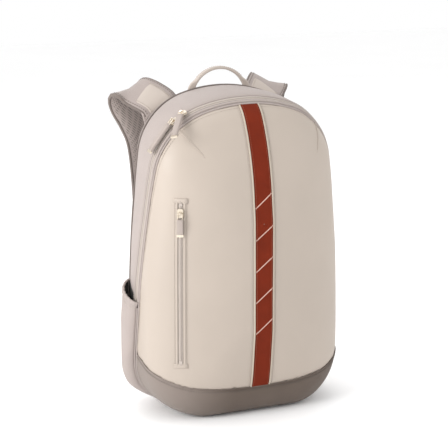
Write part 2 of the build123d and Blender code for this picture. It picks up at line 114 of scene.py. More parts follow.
# ---- materials -----------------------------------------------------------------------
class Nodes:
    """A short way to write a material's node tree."""

    def __init__(self, name, source="Object"):
        self.material = bpy.data.materials.new(name)
        self.material.use_nodes = True
        self.tree = self.material.node_tree
        self.shader = self.tree.nodes["Principled BSDF"]
        self.coords = self.add("ShaderNodeTexCoord").outputs[source]

    def add(self, kind, **values):
        node = self.tree.nodes.new(kind)
        for key, value in values.items():
            setattr(node, key, value)
        return node

    def put(self, node, **values):
        """Links or sets a node's sockets, named with _ for a space."""
        for key, value in values.items():
            self.feed(node.inputs[key.replace("_", " ")], value)
        return node

    def feed(self, socket, value):
        if hasattr(value, "is_output"):
            self.tree.links.new(value, socket)
        elif value is not None:
            socket.default_value = value

    def math(self, operation, first, second=None):
        node = self.add("ShaderNodeMath", operation=operation)
        self.feed(node.inputs[0], first)
        self.feed(node.inputs[1], second)
        return node.outputs[0]

    def along(self, direction, pitch):
        """A wave along one direction, from -1 to 1; pitch is the length of one wave in metres."""
        dot = self.add("ShaderNodeVectorMath", operation="DOT_PRODUCT")
        self.feed(dot.inputs[0], self.coords)
        self.feed(dot.inputs[1], direction)
        return self.math("SINE", self.math("MULTIPLY", dot.outputs["Value"], 2 * pi / pitch))

    def noise(self, scale, detail=3.0):
        node = self.add("ShaderNodeTexNoise")
        return self.put(node, Scale=scale, Detail=detail, Vector=self.coords).outputs["Fac"]

    def tone_ramp(self, factor, low, high, colour, first, second):
        """A colour times first at low, running to the colour times second at high."""
        ramp = self.add("ShaderNodeValToRGB")
        for element, place, times in zip(ramp.color_ramp.elements, (low, high), (first, second)):
            element.position = place
            element.color = (*(min(1.0, channel * times) for channel in colour), 1)
        return self.put(ramp, Fac=factor).outputs["Color"]

    def bump(self, height, distance, strength=1.0, under=None):
        node = self.add("ShaderNodeBump")
        self.put(node, Distance=distance, Strength=strength, Height=height, Normal=under)
        return node.outputs["Normal"]

    def between(self, value, low, high):
        node = self.add("ShaderNodeMapRange")
        return self.put(node, To_Min=low, To_Max=high, Value=value).outputs["Result"]

    def finish(self, **values):
        self.put(self.shader, **values)
        return self.material


def plain(name, colour, rough):
    nodes = Nodes(name)
    return nodes.finish(Base_Color=nodes.tone_ramp(nodes.noise(3.0), 0.3, 0.7, colour, 0.985, 1), Roughness=rough)


def cloth(name, colour, pitch, rough=0.8, depth=0.00018, sheen=0.1, source="Object", melange_and_shade=0.1, gloss=0.4):
    """Woven cloth: crossed threads, uneven dye, and painted shade that darkens the hollows between the threads.
    """
    nodes = Nodes(name, source)
    threads = ((1, 0, 0), (0, 1, 0)) if source == "UV" else ((1, 1, 0), (0.6, -0.6, 1))
    weave = nodes.math("MULTIPLY", *(nodes.along(thread, pitch) for thread in threads))
    lifted = nodes.math("ADD", nodes.math("MULTIPLY", weave, 0.5), 0.5)
    patch = nodes.noise(38.0, 4.0)
    # Painted shade: the weave's low points, the hollows, come out darker; the noise patches are uneven dye.
    mix = nodes.math("ADD", nodes.math("MULTIPLY", lifted, 0.35), nodes.math("MULTIPLY", patch, 0.65))
    broad = nodes.bump(nodes.noise(55.0, 2.0), 0.0012, 0.35)
    return nodes.finish(
        Base_Color=nodes.tone_ramp(mix, 0.25, 0.75, colour, 1 - melange_and_shade, 1 + melange_and_shade),
        Normal=nodes.bump(lifted, depth, 0.9, broad), Roughness=rough,
        Sheen_Weight=sheen, Sheen_Roughness=0.5, Specular_IOR_Level=gloss)


# Where the painted key light on the base fabric begins and ends, along x.
PAINTED_LIGHT_FROM_X = -0.03
PAINTED_LIGHT_TO_X = -0.165


def painted_key_light(material, colour):
    """Turns a material to a paler colour towards the -X corner: painted light, where the key lamp falls on that
    side.
    """
    tree = material.node_tree
    socket = tree.nodes["Principled BSDF"].inputs["Base Color"]
    base_tone = socket.links[0].from_socket
    coords, split, ramp, mix = (
        tree.nodes.new("ShaderNode" + kind) for kind in ("TexCoord", "SeparateXYZ", "MapRange", "Mix"))
    ramp.interpolation_type = "SMOOTHSTEP"
    ramp.inputs["From Min"].default_value = PAINTED_LIGHT_FROM_X
    ramp.inputs["From Max"].default_value = PAINTED_LIGHT_TO_X
    mix.data_type = "RGBA"
    mix.inputs["B"].default_value = (*colour, 1.0)
    for source, target in (
            (coords.outputs["Object"], split.inputs["Vector"]), (split.outputs["X"], ramp.inputs["Value"]),
            (ramp.outputs["Result"], mix.inputs["Factor"]), (base_tone, mix.inputs["A"]),
            (mix.outputs["Result"], socket)):
        tree.links.new(source, target)
    return material


def coated(name, colour, rough=0.48):
    """Cloth with a smooth coating: fine pores, faint mottling and a soft gloss."""
    nodes = Nodes(name)
    slack = nodes.bump(nodes.noise(14.0, 2.0), 0.004, 0.22)
    return nodes.finish(
        Base_Color=nodes.tone_ramp(nodes.noise(9.0, 5.0), 0.3, 0.7, colour, 0.965, 1.02),
        Roughness=nodes.between(nodes.noise(24.0, 4.0), rough - 0.06, rough + 0.08),
        Normal=nodes.bump(nodes.noise(1500.0, 2.0), 0.00012, 0.5, slack), Specular_IOR_Level=0.4)


def mesh_cloth(name, colour, pitch=0.0034):
    """Spacer mesh: round holes in rows over foam, the holes darkened with painted shade."""
    nodes = Nodes(name)
    waves = (nodes.along(way, pitch) for way in ((1, 0.5, 0.5), (0.5, -0.5, 1)))
    holes = nodes.math("MULTIPLY", *(nodes.math("ADD", wave, 1.0) for wave in waves))
    # level is highest in the holes, where the colour is darkened as painted shade.
    level = nodes.math("MULTIPLY", holes, 0.25)
    broad = nodes.bump(nodes.noise(40.0, 2.0), 0.0015, 0.4)
    return nodes.finish(
        Base_Color=nodes.tone_ramp(level, 0.25, 0.7, colour, 1.12, 0.55),
        Normal=nodes.bump(nodes.math("SUBTRACT", 1.0, level), 0.0005, 0.9, broad),
        Roughness=0.9, Sheen_Weight=0.2)


def metal(name, colour, rough=0.3):
    """Plated zinc with fine scuffs."""
    nodes = Nodes(name)
    scuff = nodes.noise(420.0, 5.0)
    return nodes.finish(
        Base_Color=nodes.tone_ramp(scuff, 0.35, 0.75, colour, 0.86, 1),
        Roughness=nodes.between(scuff, rough - 0.08, rough + 0.15), Metallic=1.0)


def moulded(name, colour, rough=0.42):
    """Moulded plastic with a fine spark-eroded grain."""
    nodes = Nodes(name)
    grain = nodes.noise(900.0, 2.0)
    return nodes.finish(
        Base_Color=nodes.tone_ramp(grain, 0.3, 0.7, colour, 0.9, 1), Normal=nodes.bump(grain, 0.0001, 0.6),
        Roughness=rough)


CREAM = (0.435, 0.373, 0.320)
LIGHT_CLOTH = (0.375, 0.320, 0.297)
# The next colour is the dark base cloth with painted light from the key lamp, shown at the -X corner.
BASE_PAINTED_LIGHT = (0.235, 0.195, 0.172)
DARK_CLOTH = (0.113, 0.084, 0.066)
STRAP_BIND = (0.16, 0.13, 0.115)
TAUPE = (0.35, 0.297, 0.275)
CLAY = (0.160, 0.0175, 0.0045)

LOOKS = {
    "cream_coated": coated("cream_coated", CREAM),
    "gusset_fabric": cloth("gusset_fabric", LIGHT_CLOTH, 0.0011, 0.72, melange_and_shade=0.04),
    # The base fabric turns paler towards the -X corner: painted light from the key lamp.
    "base_fabric": painted_key_light(cloth("base_fabric", DARK_CLOTH, 0.0013, 0.78, melange_and_shade=0.12), BASE_PAINTED_LIGHT),
    "clay_webbing": cloth("clay_webbing", CLAY, 0.0016, 0.7, 0.0003, 0.0, source="UV", melange_and_shade=0.2, gloss=0.12),
    "piping": cloth("piping", (0.45, 0.39, 0.315), 0.0012, melange_and_shade=0.06),
    "dark_piping": cloth("dark_piping", (0.17, 0.14, 0.125), 0.0012),
    "zip_tape": cloth("zip_tape", (0.47, 0.41, 0.365), 0.0010, melange_and_shade=0.08),
    "zip_coil": moulded("zip_coil", (0.46, 0.40, 0.355), 0.4),
    "gold_metal": metal("gold_metal", (0.78, 0.69, 0.57)),
    "pull_tape": coated("pull_tape", (0.36, 0.305, 0.275), 0.55),
    "mesh_fabric": mesh_cloth("mesh_fabric", (0.26, 0.218, 0.20)),
    "strap_cream": coated("strap_cream", (0.455, 0.395, 0.350), 0.55),
    "webbing": cloth("webbing", (0.33, 0.27, 0.235), 0.0018, 0.75, 0.0003, source="UV", melange_and_shade=0.15),
    # black_lining is also laid inside the side pockets as painted shade.
    "black_lining": cloth("black_lining", (0.018, 0.016, 0.015), 0.0012),
    "moulded_plastic": moulded("moulded_plastic", (0.17, 0.14, 0.125)),
    "foam": cloth("foam", (0.5, 0.5, 0.5), 0.002),
    "board": moulded("board", (0.1, 0.1, 0.1)),
    "stitch_cream": cloth("stitch_cream", (0.45, 0.39, 0.335), 0.0006, melange_and_shade=0.05),
    # The dark thread's finish also serves for the painted shadow lines beside the zips.
    "dark_stitch_and_shadow": cloth("dark_stitch_and_shadow", (0.13, 0.105, 0.09), 0.0006),
    "strap_edge": cloth("strap_edge", TAUPE, 0.0012, 0.75, melange_and_shade=0.08),
    "line_pink": cloth("line_pink", (0.62, 0.40, 0.33), 0.0008, melange_and_shade=0.05),
    "stitch_clay": cloth("stitch_clay", (0.25, 0.055, 0.025), 0.0006),
    "binding_cloth": cloth("binding_cloth", STRAP_BIND, 0.0010, 0.75, melange_and_shade=0.1),
}
SLOTS = {                   # the material slot of looks that have none of their own
    "stitch_cream": "piping",
    "line_pink": "piping",
    "dark_stitch_and_shadow": "dark_piping",
    "binding_cloth": "dark_piping",
    "stitch_clay": "clay_webbing",
}
BACK = (0.0, 1.0, 0.0)


# ---- mesh helpers --------------------------------------------------------------------
def new_piece(name, points, faces, look, body="root", uvs=None, slot=None):
    """A smooth piece of the object from points in metres, with its finish and its body."""
    slot = slot or SLOTS.get(look)
    mesh = bpy.data.meshes.new(name)
    mesh.from_pydata([tuple(point) for point in points], [], faces)
    mesh.validate()
    for polygon in mesh.polygons:
        polygon.use_smooth = True
    if uvs is not None:
        layer = mesh.uv_layers.new(name="UVMap")
        for loop in mesh.loops:
            layer.data[loop.index].uv = uvs[loop.vertex_index]
    piece = bpy.data.objects.new(name, mesh)
    bpy.context.scene.collection.objects.link(piece)
    mesh.materials.append(LOOKS[look])
    if body:
        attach(piece, body)
    slot or look
    return piece


def apply_modifiers(piece):
    """Keeps the shape that the piece's modifiers give, and drops the modifiers."""
    graph = bpy.context.evaluated_depsgraph_get()
    graph.update()
    result = bpy.data.meshes.new_from_object(piece.evaluated_get(graph))
    piece.modifiers.clear()
    piece.data = result


def thicken(piece, thickness):
    """Gives a sheet its thickness, inwards."""
    solid = piece.modifiers.new("solid", "SOLIDIFY")
    solid.thickness = thickness
    solid.offset = -1.0
    solid.use_even_offset = False
    apply_modifiers(piece)


def fix_normals(piece):
    bm = bmesh.new()
    bm.from_mesh(piece.data)
    bmesh.ops.recalc_face_normals(bm, faces=bm.faces)
    bm.to_mesh(piece.data)
    bm.free()


def unit_rows(vectors):
    return vectors / np.linalg.norm(vectors, axis=1)[:, None]


def run_along(path):
    """The distance along a path to each of its points."""
    return np.concatenate([[0], np.cumsum(np.linalg.norm(np.diff(path, axis=0), axis=1))])


def facing_all(direction, points):
    """One direction for every point."""
    return np.tile(direction, (len(points), 1))


def grid_faces(rows, columns, closed_rows=False, closed_columns=False):
    faces = []
    for i in range(rows if closed_rows else rows - 1):
        for j in range(columns if closed_columns else columns - 1):
            k = (i + 1) % rows
            m = (j + 1) % columns
            faces.append((i * columns + j, i * columns + m, k * columns + m, k * columns + j))
    return faces


def faces_for(grid, reverse):
    faces = grid_faces(*grid.shape[:2])
    return [face[::-1] for face in faces] if reverse else faces


def tube_faces(rows, columns, round_it=True, turn=1):
    """Faces round rows of points, and a cap at each end; turn is -1 where the rows run the other way."""
    faces = grid_faces(rows, columns, closed_columns=round_it)
    faces.append(tuple(range(columns))[::-turn])
    faces.append(tuple(range((rows - 1) * columns, rows * columns))[::turn])
    return faces


def moved_faces(faces, base):
    return [tuple(base + k for k in face) for face in faces]


def frames_along(points, normals, closed=False):
    """Tangent, outward and sideways directions at each point of a path."""
    path = np.asarray(points, float)
    if closed:
        tangent = np.roll(path, -1, 0) - np.roll(path, 1, 0)
    else:
        tangent = np.gradient(path, axis=0)
    tangent = unit_rows(tangent)
    out = np.asarray(normals, float)
    out = unit_rows(out - tangent * np.sum(out * tangent, 1)[:, None])
    return tangent, out, np.cross(tangent, out)


def mirrored(left):
    """The whole of a section that is the same on both sides, from its left half."""
    return left + [(-across, height) for across, height in left[::-1] if across]


def swept(path, side, out, profiles, run):
    """Points, and their UVs, of one cross-section (sideways, outward) at each point of a path."""
    places = [(i, across, height) for i, profile in enumerate(profiles) for across, height in profile]
    verts = [path[i] + side[i] * across + out[i] * height for i, across, height in places]
    return verts, [(across, run[i]) for i, across, _ in places]


def profile_sweep(name, points, normals, profile, look, body="root", closed=False, scale=None, slot=None):
    """Sweeps a closed cross-section along a path on a surface, scaled at each point."""
    path = np.asarray(points, float)
    _, out, side = frames_along(path, normals, closed)
    scale = scale or [(1.0, 1.0)] * len(path)
    profiles = [[(across * wide, height * tall) for across, height in profile] for wide, tall in scale]
    verts, uvs = swept(path, side, out, profiles, run_along(path))
    count = len(profile)
    faces = grid_faces(len(path), count, True, True) if closed else tube_faces(len(path), count)
    return new_piece(name, verts, faces, look, body, uvs=uvs, slot=slot)


def round_profile(radius, count=10):
    turns = [2 * pi * k / count for k in range(count)]
    return [(radius * cos(a), radius * sin(a)) for a in turns]


def flat_profile(width, low, high, lip=0.0004):
    """A flat ribbon's section with eased upper corners."""
    return mirrored([(-width / 2, low), (-width / 2, high - lip), (-width / 2 + lip, high)])


def even_path(points, step, normals=None):
    """Points, and their normals, spaced evenly along a path."""
    path = np.asarray(points, float)
    run = run_along(path)
    at = np.linspace(0, run[-1], max(2, int(round(run[-1] / step)) + 1))
    spaced = np.stack([np.interp(at, run, path[:, k]) for k in range(3)], 1)
    if normals is None:
        return spaced
    return spaced, unit_rows(np.stack([np.interp(at, run, np.asarray(normals)[:, k]) for k in range(3)], 1))


STITCH_RINGS = [            # along, radius and rise of one stitch
    (-0.5, 0.25, -0.8), (-0.3, 1.0, 0.0), (0.3, 1.0, 0.0), (0.5, 0.25, -0.8),
]
STITCH_SIDES = 6


def stitches(name, points, normals, look="stitch_cream", body="root", pitch=0.0042, length=0.0028, size=0.0005,
             lift=0.0003):
    """A row of thread stitches lying on a surface."""
    path, facing = even_path(points, pitch, normals)
    tangent, out, side = frames_along(path, facing)
    one = tube_faces(len(STITCH_RINGS), STITCH_SIDES)
    verts = []
    faces = []
    for i, point in enumerate(path):
        faces += moved_faces(one, len(verts))
        for along, radius, rise in STITCH_RINGS:
            middle = point + tangent[i] * along * length + out[i] * (lift + rise * size)
            for k in range(STITCH_SIDES):
                a = 2 * pi * k / STITCH_SIDES
                verts.append(middle + (side[i] * cos(a) + out[i] * sin(a) * 0.8) * size * radius)
    return new_piece(name, verts, faces, look, body)


# ---- the body's surface, from the same sections as the frame ------------------------
# Millimetres, with the front at y = FRONT_Y and depth counted back from it.
HALF_WIDTH = 160
SIDE_R = 2200
SIDE_Z = 120
CORNER_R = 80
SHOULDER_R = 105
CROWN_R = 225
FRONT_Y = -95
NOSE = 78                   # depth over which the front rounds out to full width
BACK_SEAM_Y = 60
SEAM_FOOT_Y = 30
SEAM_SLOPE = 0.15
BASE_SEAM_Z = 47
BASE_SEAM_RISE = 18
WRAP_START = -75            # where the front has turned far enough for the seam to climb
WRAP_SLOPE = 0.33
WRAP_EASE = 12
BASE_SEAM_POWER = 2.2
HEIGHTS = [                 # depth, lowest and highest point
    (0, 150, 290), (3, 112, 322), (8, 68, 362), (16, 34, 397), (28, 10, 431), (45, 1, 461),
    (65, 0, 476), (90, 0, 484), (125, 0, 487), (155, 0, 487), (175, 4, 483),
]
WIDTHS = [(78, 160), (90, 160), (125, 159.5), (155, 153), (175, 146)]        # depth and half width
BACK_DEPTH = 175
BACK_ROUNDING = ((1.8, 1.0), (3.0, 3.0), (3.6, 6.0))    # past the back, and in from its outline
# Metres.
FLOOR_GAP = 0.0002
FOOT_RISE = 0.001           # the flat foot of an outline ends where it has climbed this far
FOOT_HALF = 0.098
FOOT_TOP_Z = 0.03


def smooth_between(x, xs, ys):
    """Monotone cubic through a few values."""
    xs = np.asarray(xs, float)
    ys = np.asarray(ys, float)
    step = np.diff(xs)
    rate = np.diff(ys) / step
    slope = np.zeros(len(xs))
    slope[0], slope[-1] = rate[0], rate[-1]
    for i in range(1, len(xs) - 1):
        if rate[i - 1] * rate[i] > 0:
            slope[i] = 2 * rate[i - 1] * rate[i] / (rate[i - 1] + rate[i])
    i = int(np.clip(np.searchsorted(xs, x) - 1, 0, len(step) - 1))
    t = (x - xs[i]) / step[i]
    a = (2 * t ** 3 - 3 * t ** 2 + 1) * ys[i] + (t ** 3 - 2 * t ** 2 + t) * step[i] * slope[i]
    b = (3 * t ** 2 - 2 * t ** 3) * ys[i + 1] + (t ** 3 - t ** 2) * step[i] * slope[i + 1]
    return float(a + b)


def section(depth, inset=0.0):
    """Half width, lowest and highest point at one depth behind the front."""
    roots = [sqrt(row[0]) for row in HEIGHTS]
    low = smooth_between(sqrt(depth), roots, [row[1] for row in HEIGHTS])
    high = smooth_between(sqrt(depth), roots, [row[2] for row in HEIGHTS])
    if depth < NOSE:
        half = HALF_WIDTH * sqrt(1 - (1 - depth / NOSE) ** 2)
    else:
        half = smooth_between(depth, [row[0] for row in WIDTHS], [row[1] for row in WIDTHS])
    return half - inset, low + inset, high - inset


def outline(depth, inset=0.0):
    """Right half of a front-view outline in millimetres, from the middle of the foot to the top."""
    half, low, high = section(depth, inset)
    scale = half / HALF_WIDTH
    corner_r = min(CORNER_R * scale, half * 0.9, (high - low) * 0.4)
    shoulder_r = min(SHOULDER_R * scale, half * 0.9)
    crown_r = max(CROWN_R * scale, half * 1.03)
    side_z = min(max(SIDE_Z, low + corner_r), high - crown_r * 0.5)
    side = (half - SIDE_R, side_z)
    drop = low + corner_r - side_z
    corner = (side[0] + sqrt((SIDE_R - corner_r) ** 2 - drop ** 2), low + corner_r)
    crown = (0, high - crown_r)
    reach_side = SIDE_R - shoulder_r
    reach_crown = crown_r - shoulder_r
    span_x = crown[0] - side[0]
    span_z = crown[1] - side[1]
    span = sqrt(span_x ** 2 + span_z ** 2)
    along = (reach_side ** 2 - reach_crown ** 2 + span ** 2) / (2 * span)
    across = sqrt(reach_side ** 2 - along ** 2)
    shoulder = (
        side[0] + (along * span_x - across * span_z) / span,
        side[1] + (along * span_z + across * span_x) / span,
    )
    side_low = atan2(corner[1] - side[1], corner[0] - side[0])
    side_high = atan2(shoulder[1] - side[1], shoulder[0] - side[0])
    crown_low = atan2(shoulder[1] - crown[1], shoulder[0])
    points = [(corner[0] * k / 14, low) for k in range(14)]
    arcs = [
        (corner, corner_r, -pi / 2, side_low, 24),
        (side, SIDE_R, side_low, side_high, 56),
        (shoulder, shoulder_r, side_high, crown_low, 26),
        (crown, crown_r, crown_low, pi / 2, 24),
    ]
    for centre, radius, start, stop, count in arcs:
        for k in range(count):
            a = start + (stop - start) * k / count
            points.append((centre[0] + radius * cos(a), centre[1] + radius * sin(a)))
    points.append((0.0, high))
    return np.array(points)


def ring_at(depth, y, inset=0.0):
    """The whole outline at one depth, set at y."""
    right = outline(depth, inset)
    loop = np.concatenate([right, right[1:-1][::-1] * (-1, 1)])
    return np.column_stack([loop[:, 0], np.full(len(loop), y), loop[:, 1]])


def body_rows():
    """The whole body as rows of points from front to back, in metres."""
    depths = [NOSE * (1 - cos(radians(a))) for a in np.linspace(4.0, 90, 62)]
    depths += list(np.linspace(NOSE + 2, BACK_DEPTH, 44))
    rows = [ring_at(depth, FRONT_Y + depth) for depth in depths]
    rows += [ring_at(BACK_DEPTH, FRONT_Y + BACK_DEPTH + past, inset) for past, inset in BACK_ROUNDING]
    return np.array(rows) * MM


ROWS = body_rows()


def row_normals(rows):
    """Outward directions at the points of the rows."""
    across = np.roll(rows, -1, 1) - np.roll(rows, 1, 1)
    normal = np.cross(np.gradient(rows, axis=0), across)
    normal /= np.linalg.norm(normal, axis=2)[:, :, None] + 1e-12
    side = normal[len(rows) // 2, rows.shape[1] // 4, 0]
    return normal * (1 if side > 0 else -1)


NORMALS = row_normals(ROWS)


def seam_side(point):
    """Millimetres behind the plane of the front seam."""
    _, y, z = point
    return (y / MM - SEAM_FOOT_Y + SEAM_SLOPE * z / MM) / sqrt(1 + SEAM_SLOPE ** 2)


def base_line(x, y=FRONT_Y * MM):
    """Height of the base seam: a shallow curve over the front, which climbs as it goes round the sides."""
    front = BASE_SEAM_RISE * (abs(x / MM) / HALF_WIDTH) ** BASE_SEAM_POWER
    wrap = max(0.0, y / MM - WRAP_START)
    return (BASE_SEAM_Z + front + WRAP_SLOPE * wrap ** 2 / (wrap + WRAP_EASE)) * MM


def trace(measure):
    """Where a measure crosses zero along each column, from the front: points and normals."""
    points = []
    normals = []
    for j in range(ROWS.shape[1]):
        values = np.array([measure(p) for p in ROWS[:, j]])
        cross = np.where((values[:-1] < 0) & (values[1:] >= 0))[0]
        if len(cross) == 0:
            continue
        i = cross[-1]
        t = values[i] / (values[i] - values[i + 1])
        points.append(ROWS[i, j] * (1 - t) + ROWS[i + 1, j] * t)
        facing = NORMALS[i, j] * (1 - t) + NORMALS[i + 1, j] * t
        normals.append(facing / np.linalg.norm(facing))
    return np.array(points), np.array(normals)


def cut_to(bm, measure):
    """Keeps the part of a mesh where the measure is positive, cut cleanly along zero."""
    values = {vert: measure(vert.co) for vert in bm.verts}
    fresh = []
    for edge in list(bm.edges):
        a, b = edge.verts
        if values[a] * values[b] < 0:
            t = values[a] / (values[a] - values[b])
            _, vert = bmesh.utils.edge_split(edge, a, t)
            values[vert] = 0.0
            fresh.append(vert)
    bmesh.ops.connect_verts(bm, verts=fresh)
    out = [vert for vert in bm.verts if values[vert] < 0]
    bmesh.ops.delete(bm, geom=out, context="VERTS")


def body_mesh():
    bm = bmesh.new()
    rows, columns, _ = ROWS.shape
    verts = [[bm.verts.new(point) for point in row] for row in ROWS]
    for i in range(rows - 1):
        for j in range(columns):
            k = (j + 1) % columns
            bm.faces.new((verts[i][j], verts[i][k], verts[i + 1][k], verts[i + 1][j]))
    close_end(bm, verts[0], 6)
    close_end(bm, verts[-1], 26)
    bmesh.ops.recalc_face_normals(bm, faces=bm.faces)
    return bm


def close_end(bm, ring, cuts):
    """Fills a ring that is mirrored left and right: one face along its flat foot, then quads."""
    count = len(ring)
    middle = count // 2
    foot = next(j for j in range(middle) if ring[j].co.z > ring[0].co.z + FOOT_RISE)
    rows = []
    for j in range(foot, middle + 1):
        right = ring[j]
        left = ring[count - j]
        if right is left:
            rows.append([right] * (cuts + 2))
            continue
        between = [bm.verts.new(right.co.lerp(left.co, k / (cuts + 1))) for k in range(1, cuts + 1)]
        rows.append([right, *between, left])
    bm.faces.new([ring[k % count] for k in range(-foot, foot + 1)] + rows[0][1:-1])
    for low, high in zip(rows[:-1], rows[1:]):
        for k in range(cuts + 1):
            corners = [low[k], low[k + 1], high[k + 1], high[k]]
            bm.faces.new([vert for i, vert in enumerate(corners) if vert not in corners[:i]])


WHOLE = body_mesh()
BVH = BVHTree.FromBMesh(WHOLE)


def on_front(x, z):
    """The point of the front surface at x and z, in metres, with its normal."""
    place, normal, _, _ = BVH.ray_cast(Vector((x, -0.3, z)), Vector(BACK))
    return np.array(place), np.array(normal)


def front_path(pairs):
    hits = [on_front(x, z) for x, z in pairs]
    return np.array([hit[0] for hit in hits]), np.array([hit[1] for hit in hits])


SHELL_THICK = 0.0022
SEAM_SINK = 1.2
SEAM_PULL = {0: 1.0, 1: 0.45, 2: 0.15}                 # share of the sink, by rings of points from the seam


def panel(name, measures, look, replaced, slot=None):
    """One sewn panel of the body: cut out of the surface, pulled in at its seams, and thickened."""
    bm = WHOLE.copy()
    for measure in measures:
        cut_to(bm, measure)
    bm.normal_update()
    front = {vert for edge in bm.edges if edge.is_boundary for vert in edge.verts}
    reach = {vert: 0 for vert in front}
    for ring in range(1, 4):
        front = {edge.other_vert(vert) for vert in front for edge in vert.link_edges} - reach.keys()
        reach.update({vert: ring for vert in front})
    for vert in bm.verts:
        p = vert.co
        swell = noise.noise(p * 11.0) * 0.9 + noise.noise(p * 27.0 + Vector((3, 1, 2))) * 0.35
        pull = SEAM_PULL.get(reach.get(vert), 0.0)
        pucker = noise.noise(p * 160.0) * 0.35 * (1.0 if vert in reach else 0.0)
        settle = min(1.0, p.z / 0.02)
        vert.co = p + vert.normal * (swell * 0.8 * settle - SEAM_SINK * pull + pucker * pull * settle) * MM
        vert.co.z = max(vert.co.z, FLOOR_GAP)
    points = [tuple(vert.co) for vert in bm.verts]
    bm.verts.index_update()
    faces = [tuple(vert.index for vert in face.verts) for face in bm.faces]
    bm.free()
    piece = new_piece(name, points, faces, look, slot=slot)
    thicken(piece, SHELL_THICK)
    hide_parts(*replaced)


def on_foot(point):
    """Positive inside the dark strip under the body."""
    return min(FOOT_HALF - abs(point[0]), FOOT_TOP_Z - point[2])


def ahead_of_back(point):
    return BACK_SEAM_Y * MM - point[1]


def above_base(point):
    return point[2] - base_line(point[0], point[1])


def add_body():
    panel("front_shell", [lambda p: -seam_side(p), above_base], "cream_coated", ["front_panel"])
    panel("base_shell", [lambda p: -seam_side(p), lambda p: -above_base(p)], "base_fabric", ["base_panel"])
    panel("foot_shell", [seam_side, ahead_of_back, on_foot], "base_fabric", ["bottom_panel"])
    panel("side_band", [seam_side, ahead_of_back, lambda p: -on_foot(p)], "gusset_fabric",
          ["gusset_band", "zip_panel"])
    panel("back_shell", [lambda p: -ahead_of_back(p)], "strap_edge", ["back_panel"], slot="mesh_fabric")


def kept_off_floor(piece):
    """The underside of the base flattens where it stands."""
    for vert in piece.data.vertices:
        vert.co.z = max(vert.co.z, FLOOR_GAP)


def add_seams():
    points, normals = trace(seam_side)
    cord = profile_sweep("front_seam_cord", points, normals, round_profile(0.0013), "gusset_fabric",
                         closed=True)
    kept_off_floor(cord)
    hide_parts("front_seam_piping")
    for name, gap in (("seam_stitch_front", -5.5), ("seam_stitch_side", 4.5)):
        points, normals = trace(lambda p: seam_side(p) - gap)
        above = points[:, 2] > 0.09
        stitches(name, points[above], normals[above])
    points, normals = trace(lambda p: p[1] / MM - BACK_SEAM_Y)
    cord = profile_sweep("back_seam_cord", points, normals, round_profile(0.0014), "dark_piping", closed=True)
    kept_off_floor(cord)
    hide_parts("back_seam_piping")


def base_seam_path(gap=0.0):
    """Along the base seam: found from the front at the middle, and row by row on the sides."""
    middle = 0.092
    points, normals = front_path([(x, base_line(x) + gap) for x in np.linspace(-middle, middle, 60)])
    right = []
    for row, facing in zip(ROWS, NORMALS):
        if seam_side(row[30]) > 25:
            break
        for j in range(10, ROWS.shape[1] // 2):
            below, above = above_base(row[j]) - gap, above_base(row[j + 1]) - gap
            if below < 0 <= above:
                t = below / (below - above)
                p = row[j] * (1 - t) + row[j + 1] * t
                if p[0] > middle + 0.002 and seam_side(p) < 0:
                    right.append((p, facing[j]))
                break
    right = np.array(right)
    sides = right[::-1] * (-1, 1, 1), right
    return tuple(np.concatenate([sides[0][:, k], at, sides[1][:, k]]) for k, at in enumerate((points, normals)))


def add_base_trim():
    points, normals = base_seam_path()
    points, normals = even_path(points, 0.003, normals)
    profile_sweep("base_seam_cord", points, normals, round_profile(0.0009), "base_fabric")
    points, normals = base_seam_path(-0.0045)
    stitches("base_stitches", points, normals, "dark_stitch_and_shadow")


# ---- the finished shell, as something to lay trim on --------------------------------
class Skin:
    """The outer faces of some finished pieces, to place trim on."""

    def __init__(self, names):
        verts = []
        faces = []
        for name in names:
            base = len(verts)
            mesh = bpy.data.objects[name].data
            verts += [vert.co.copy() for vert in mesh.vertices]
            faces += [[base + k for k in polygon.vertices] for polygon in mesh.polygons]
        self.tree = BVHTree.FromPolygons(verts, faces)

    def drop(self, point, direction, start=0.03):
        """The first place met from outside, going inwards along a direction."""
        direction = Vector(direction).normalized()
        hit = self.tree.ray_cast(Vector(point) - direction * start, direction, 2.5 * start)
        return hit[0]

    def under(self, point, normal):
        """The place on the skin under a point, or the point itself where nothing is met."""
        hit = self.drop(point, -Vector(normal))
        return np.array(point if hit is None else hit)

    def settle(self, points, normals, lift=0.0):
        """Points moved along their normals onto the skin, then lifted off it."""
        placed = [self.under(point, normal) + np.array(normal) * lift for point, normal in zip(points, normals)]
        return smoothed(np.array(placed), 1)


def smoothed(points, times):
    """Points evened out along their path, with both ends kept."""
    points = np.array(points, float)
    for _ in range(times):
        inner = (np.roll(points, 1, 0) + 2 * points + np.roll(points, -1, 0)) / 4
        inner[0], inner[-1] = points[0], points[-1]
        points = inner
    return points


BAND_LIFT = 0.0002
BAND_EDGE = -0.0006         # where the turned-down edge ends, under the skin


def band(name, skin, points, normals, width, thickness, look, cuts):
    """A flat ribbon that follows the skin across its whole width, with turned-down edges."""
    _, out, side = frames_along(points, normals)
    offsets = np.concatenate([[-width / 2], np.linspace(-width / 2, width / 2, cuts + 1), [width / 2]])
    heights = np.array([BAND_EDGE] + [BAND_LIFT + thickness] * (cuts + 1) + [BAND_EDGE])
    heights[[1, -2]] -= 0.0003
    verts = []
    uvs = []
    for point, across, normal, run in zip(points, side, out, run_along(points)):
        for offset, height in zip(offsets, heights):
            verts.append(skin.under(point + across * offset, normal) + normal * height)
            uvs.append((offset, run))
    return new_piece(name, verts, grid_faces(len(points), len(offsets)), look, uvs=uvs)


# ---- stripe --------------------------------------------------------------------------
STRIPE_HALF = 0.014
LINE_CENTRES = [0.332 - 0.0473 * k for k in range(5)]
LINE_SLOPE = 0.78
LINE_SECTION = mirrored([(-0.0011, 0.0011), (-0.0008, 0.0017)])      # up, and outward


